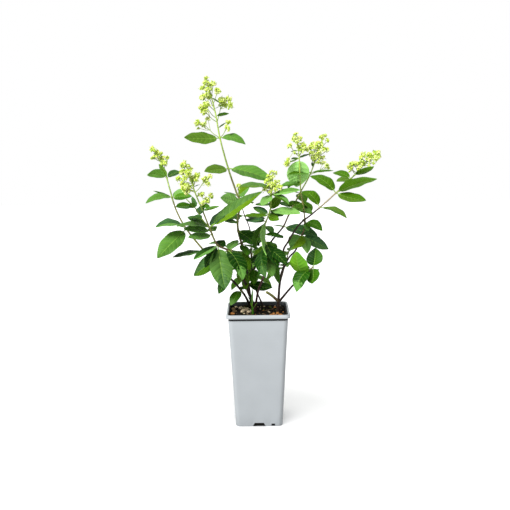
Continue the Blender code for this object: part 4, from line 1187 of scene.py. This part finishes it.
def add_bump(tree, shader, height, strength, distance):
    bump = tree.nodes.new("ShaderNodeBump")
    bump.inputs["Strength"].default_value = strength
    bump.inputs["Distance"].default_value = distance
    tree.links.new(height, bump.inputs["Height"])
    tree.links.new(bump.outputs["Normal"], shader.inputs["Normal"])


def scaled(colour, factor):
    return tuple(min(1.0, c * factor) for c in colour)


def mixed(colour, other, share):
    return tuple(a * (1 - share) + b * share for a, b in zip(colour, other))


def mottled(family, name, colour, roughness=None):
    """A material of one family, and its parts: the tree, the shader and the colour that the noise gives."""
    usual, specular, scale, detail, stops, bump = FAMILIES[family]
    material, tree, shader = new_material(family + "_" + name, colour, roughness or usual, specular)
    pattern = texture(tree, "ShaderNodeTexNoise", scale, detail).outputs["Fac"]
    shade = colour_ramp(tree, pattern, [(at, scaled(colour, factor)) for at, factor in stops])
    tree.links.new(shade, shader.inputs["Base Color"])
    if bump:
        add_bump(tree, shader, pattern, *bump)
    return material, tree, shader, shade


def leaf_material(name, colour, roughness=None):
    """Leaf green that shifts a little over the blade, with a fine net of small veins."""
    colour = tuple(channel * tint for channel, tint in zip(colour, LEAF_TINT))
    material, tree, shader, _ = mottled("leaf", name, colour, roughness)
    net = texture(tree, "ShaderNodeTexVoronoi", NET_SCALE)
    net.feature = "DISTANCE_TO_EDGE"
    add_bump(tree, shader, net.outputs["Distance"], *NET_BUMP)
    return material


def pot_material(name, colour):
    """Light grey moulded plastic, faintly mottled, with painted shade that darkens it towards its foot, and
    a fine grain.
    """
    material, tree, shader, clouds = mottled("pot", name, colour)
    coordinates = tree.nodes.new("ShaderNodeTexCoord")
    split = tree.nodes.new("ShaderNodeSeparateXYZ")
    tree.links.new(coordinates.outputs["Object"], split.inputs["Vector"])
    height = tree.nodes.new("ShaderNodeMapRange")
    height.inputs["From Max"].default_value = POT_HEIGHT
    tree.links.new(split.outputs["Z"], height.inputs["Value"])
    # Painted shade: the colour darkens from the rim down to the foot.
    shade = colour_ramp(tree, height.outputs["Result"], [(0.0, (FOOT_PAINTED_SHADE,) * 3), (1.0, (1.0,) * 3)])
    blend = tree.nodes.new("ShaderNodeMix")
    blend.data_type = "RGBA"
    blend.blend_type = "MULTIPLY"
    blend.inputs["Factor"].default_value = 1.0
    tree.links.new(clouds, blend.inputs["A"])
    tree.links.new(shade, blend.inputs["B"])
    tree.links.new(blend.outputs["Result"], shader.inputs["Base Color"])
    grain = texture(tree, "ShaderNodeTexNoise", GRAIN_SCALE)
    add_bump(tree, shader, grain.outputs["Fac"], *GRAIN_BUMP)
    return material


def make_materials():
    """The materials by look. A leaf green has three more, for its veins, its rib and its underside, which
    painted light makes lighter.
    """
    materials = {"rib": leaf_material("rib", RIB, RIB_ROUGHNESS)}
    for name, colour in GREENS.items():
        # Painted light: the underside is lightened by a factor and mixed with a paler green.
        under = mixed(scaled(colour, UNDERSIDE_PAINTED_LIGHT), UNDERSIDE, UNDERSIDE_SHARE)
        materials[name] = leaf_material(name, colour)
        materials[name + "_vein"] = leaf_material(name + "_vein", mixed(colour, RIB, VEIN_MIX))
        materials[name + "_rib"] = leaf_material(name + "_rib", mixed(colour, RIB, RIB_MIX))
        materials[name + "_under"] = leaf_material(name + "_under", under, UNDERSIDE_ROUGHNESS)
    for family, colours in (("bark", BARK), ("bud", BUDS), ("soil", CRUMB_LOOKS)):
        for name, colour in colours.items():
            materials[family + "_" + name] = mottled(family, name, colour)[0]
    return materials


# Plant
def grow_limbs():
    """The centre lines of all stems, each after the one that it starts from."""
    limbs = {}
    for name, row in STEMS.items():
        line = metres(row["line"])
        if "from" in row:
            host, at = row["from"]
            line = [tuple(limbs[host].at(at / 100))] + line
        foot, tip = row["radii"]
        limbs[name] = Limb(line, foot / 10000, tip / 10000, row["looks"])
    return limbs


def mass_limb(name, limbs):
    """The limb that a mass grows from, and the stretch of it that belongs to the mass."""
    if name in SPRIGS:
        host, at, heading, rise, length = SPRIGS[name]
        foot = limbs[host].at(at / 100)
        tip = foot + heading_vector(heading, rise) * (length / 1000)
        return Limb([foot, tip], SPRIG_RADIUS, SPRIG_RADIUS * TWIG_TAPER, SPRIG_LOOKS), 0.0, 1.0
    if name == "tall_top":
        return limbs["tall"], TALL_SPLIT, HEAD_SHARE
    return limbs[name], STEMS[name]["bare"] / 100, TALL_SPLIT if name == "tall" else HEAD_SHARE


def place(obj, slot, *nodes):
    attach(obj, "root")
    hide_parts(*nodes)


def make_stems(limbs, materials, rng):
    """The bare part of each stem."""
    for name, limb in limbs.items():
        row = STEMS[name]
        heap = Heap()
        bark(heap, limb, 0.0, row["bare"] / 100, [], rng, rooted="from" not in row)
        place(heap.build("bark_" + name, materials, "bark_"), "bark", "stem_" + name)


def make_mass(name, limbs, materials, rng):
    """The twigs, the leaves and, where it has a flower head, the buds of one mass."""
    limb, start, end = mass_limb(name, limbs)
    rows = [(limb, row) for row in LEAVES[name]]
    buds = Heap()
    twigs = Heap()
    leaves = Heap()
    knots = sorted({row[0] / 100 for row in LEAVES[name]})
    bark(twigs, limb, start, end, knots, rng, sides=MASS_SIDES)
    if name == "left":
        spur = Limb(metres(SPUR_LINE), SPUR_RADIUS, SPUR_RADIUS * TWIG_TAPER, {"green": 100})
        bark(twigs, spur, 0.0, 1.0, SPUR_KNOTS, rng, sides=SPUR_SIDES)
        rows += [(spur, row) for row in SPUR_LEAVES]
    flower_head(buds, twigs, limb, HEADS.get(name, []), rng)
    rows += [(limb, row) for row in BRACTS.get(name, [])]
    for host, row in rows:
        leaf(leaves, host.at(row[0] / 100), row, rng)
    for kind, heap, prefix in (("buds_", buds, "bud_"), ("twigs_", twigs, "bark_"), ("leaves_", leaves, "")):
        if heap.count:
            place(heap.build(kind + name, materials, prefix), "leaves", "foliage_" + name)


def make_shoot(materials, rng):
    """A young green shoot that stands in the soil in front of the stems."""
    heap = Heap()
    line = smooth_line(SHOOT_LINE)
    radii = np.interp(np.linspace(0, 1, len(line)), (0, 0.5, 1), SHOOT_RADII)
    thread(heap, line, radii, "mid", sides=SHOOT_SIDES)
    for row in SHOOT_LEAVES:
        leaf(heap, line[round(row[0] / 100 * (len(line) - 1))], row, rng)
    place(heap.build("green_shoot", materials), "leaves", "foliage_centre")


# Stage
def make_floor():
    reach = FLOOR_REACH
    corners = [(-reach, -reach, 0), (reach, -reach, 0), (reach, reach, 0), (-reach, reach, 0)]
    material, _, _ = new_material("pale_floor", FLOOR_COLOUR, FLOOR_ROUGHNESS, 0.0)
    floor = mesh_object("floor", corners, [(0, 1, 2, 3)], [material])
    return floor


def add_sun(name, light, floor, lit):
    """A soft sun that lights either the floor alone or all but the floor."""
    energy, way, spread = light
    data = bpy.data.lights.new(name, "SUN")
    data.energy = energy
    data.angle = math.radians(spread)
    lamp = add_object(name, data)
    lamp.rotation_euler = Vector(way).to_track_quat("-Z", "Y").to_euler()
    group = bpy.data.collections.new(name + "_floor")
    group.objects.link(floor)
    group.collection_objects[0].light_linking.link_state = lit
    lamp.light_linking.receiver_collection = group
    return lamp


def make_lights(floor):
    """An even white surround, a key from the left front, and weak ones for the shadow by the foot."""
    world = bpy.data.worlds.new("studio")
    bpy.context.scene.world = world
    world.use_nodes = True
    background = world.node_tree.nodes["Background"]
    background.inputs["Color"].default_value = (1.0, 1.0, 1.0, 1.0)
    background.inputs["Strength"].default_value = 1.0
    add_sun("key", KEY_LIGHT, floor, "EXCLUDE")
    add_sun("floor_light", FLOOR_LIGHT, floor, "INCLUDE")
    fill = add_sun("floor_fill", FLOOR_FILL, floor, "INCLUDE")
    fill.data.use_shadow = False


def make_camera():
    data = bpy.data.cameras.new("camera")
    data.sensor_width = SENSOR
    data.lens = SENSOR * FOCAL_PIXELS / PHOTO_SIZE
    camera = add_object("camera", data)
    camera.matrix_world = (Matrix.Translation(CAMERA_PLACE)
                           @ Matrix.Rotation(math.pi / 2 - math.radians(CAMERA_PITCH), 4, "X")
                           @ Matrix.Rotation(-math.radians(CAMERA_ROLL), 4, "Z"))
    bpy.context.scene.camera = camera


def main():
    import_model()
    rng = np.random.default_rng(SEED)
    materials = make_materials()
    limbs = grow_limbs()
    make_stems(limbs, materials, rng)
    for name in LEAVES:
        make_mass(name, limbs, materials, rng)
    make_shoot(materials, rng)
    pot_looks = {name: pot_material(name, colour) for name, colour in POT_LOOKS.items()}
    place(make_pot(pot_looks), "pot_plastic", "pot")
    place(make_soil(materials, rng), "potting_soil", "soil")
    make_lights(make_floor())
    make_camera()
    bpy.context.scene.view_settings.view_transform = "Standard"


main()
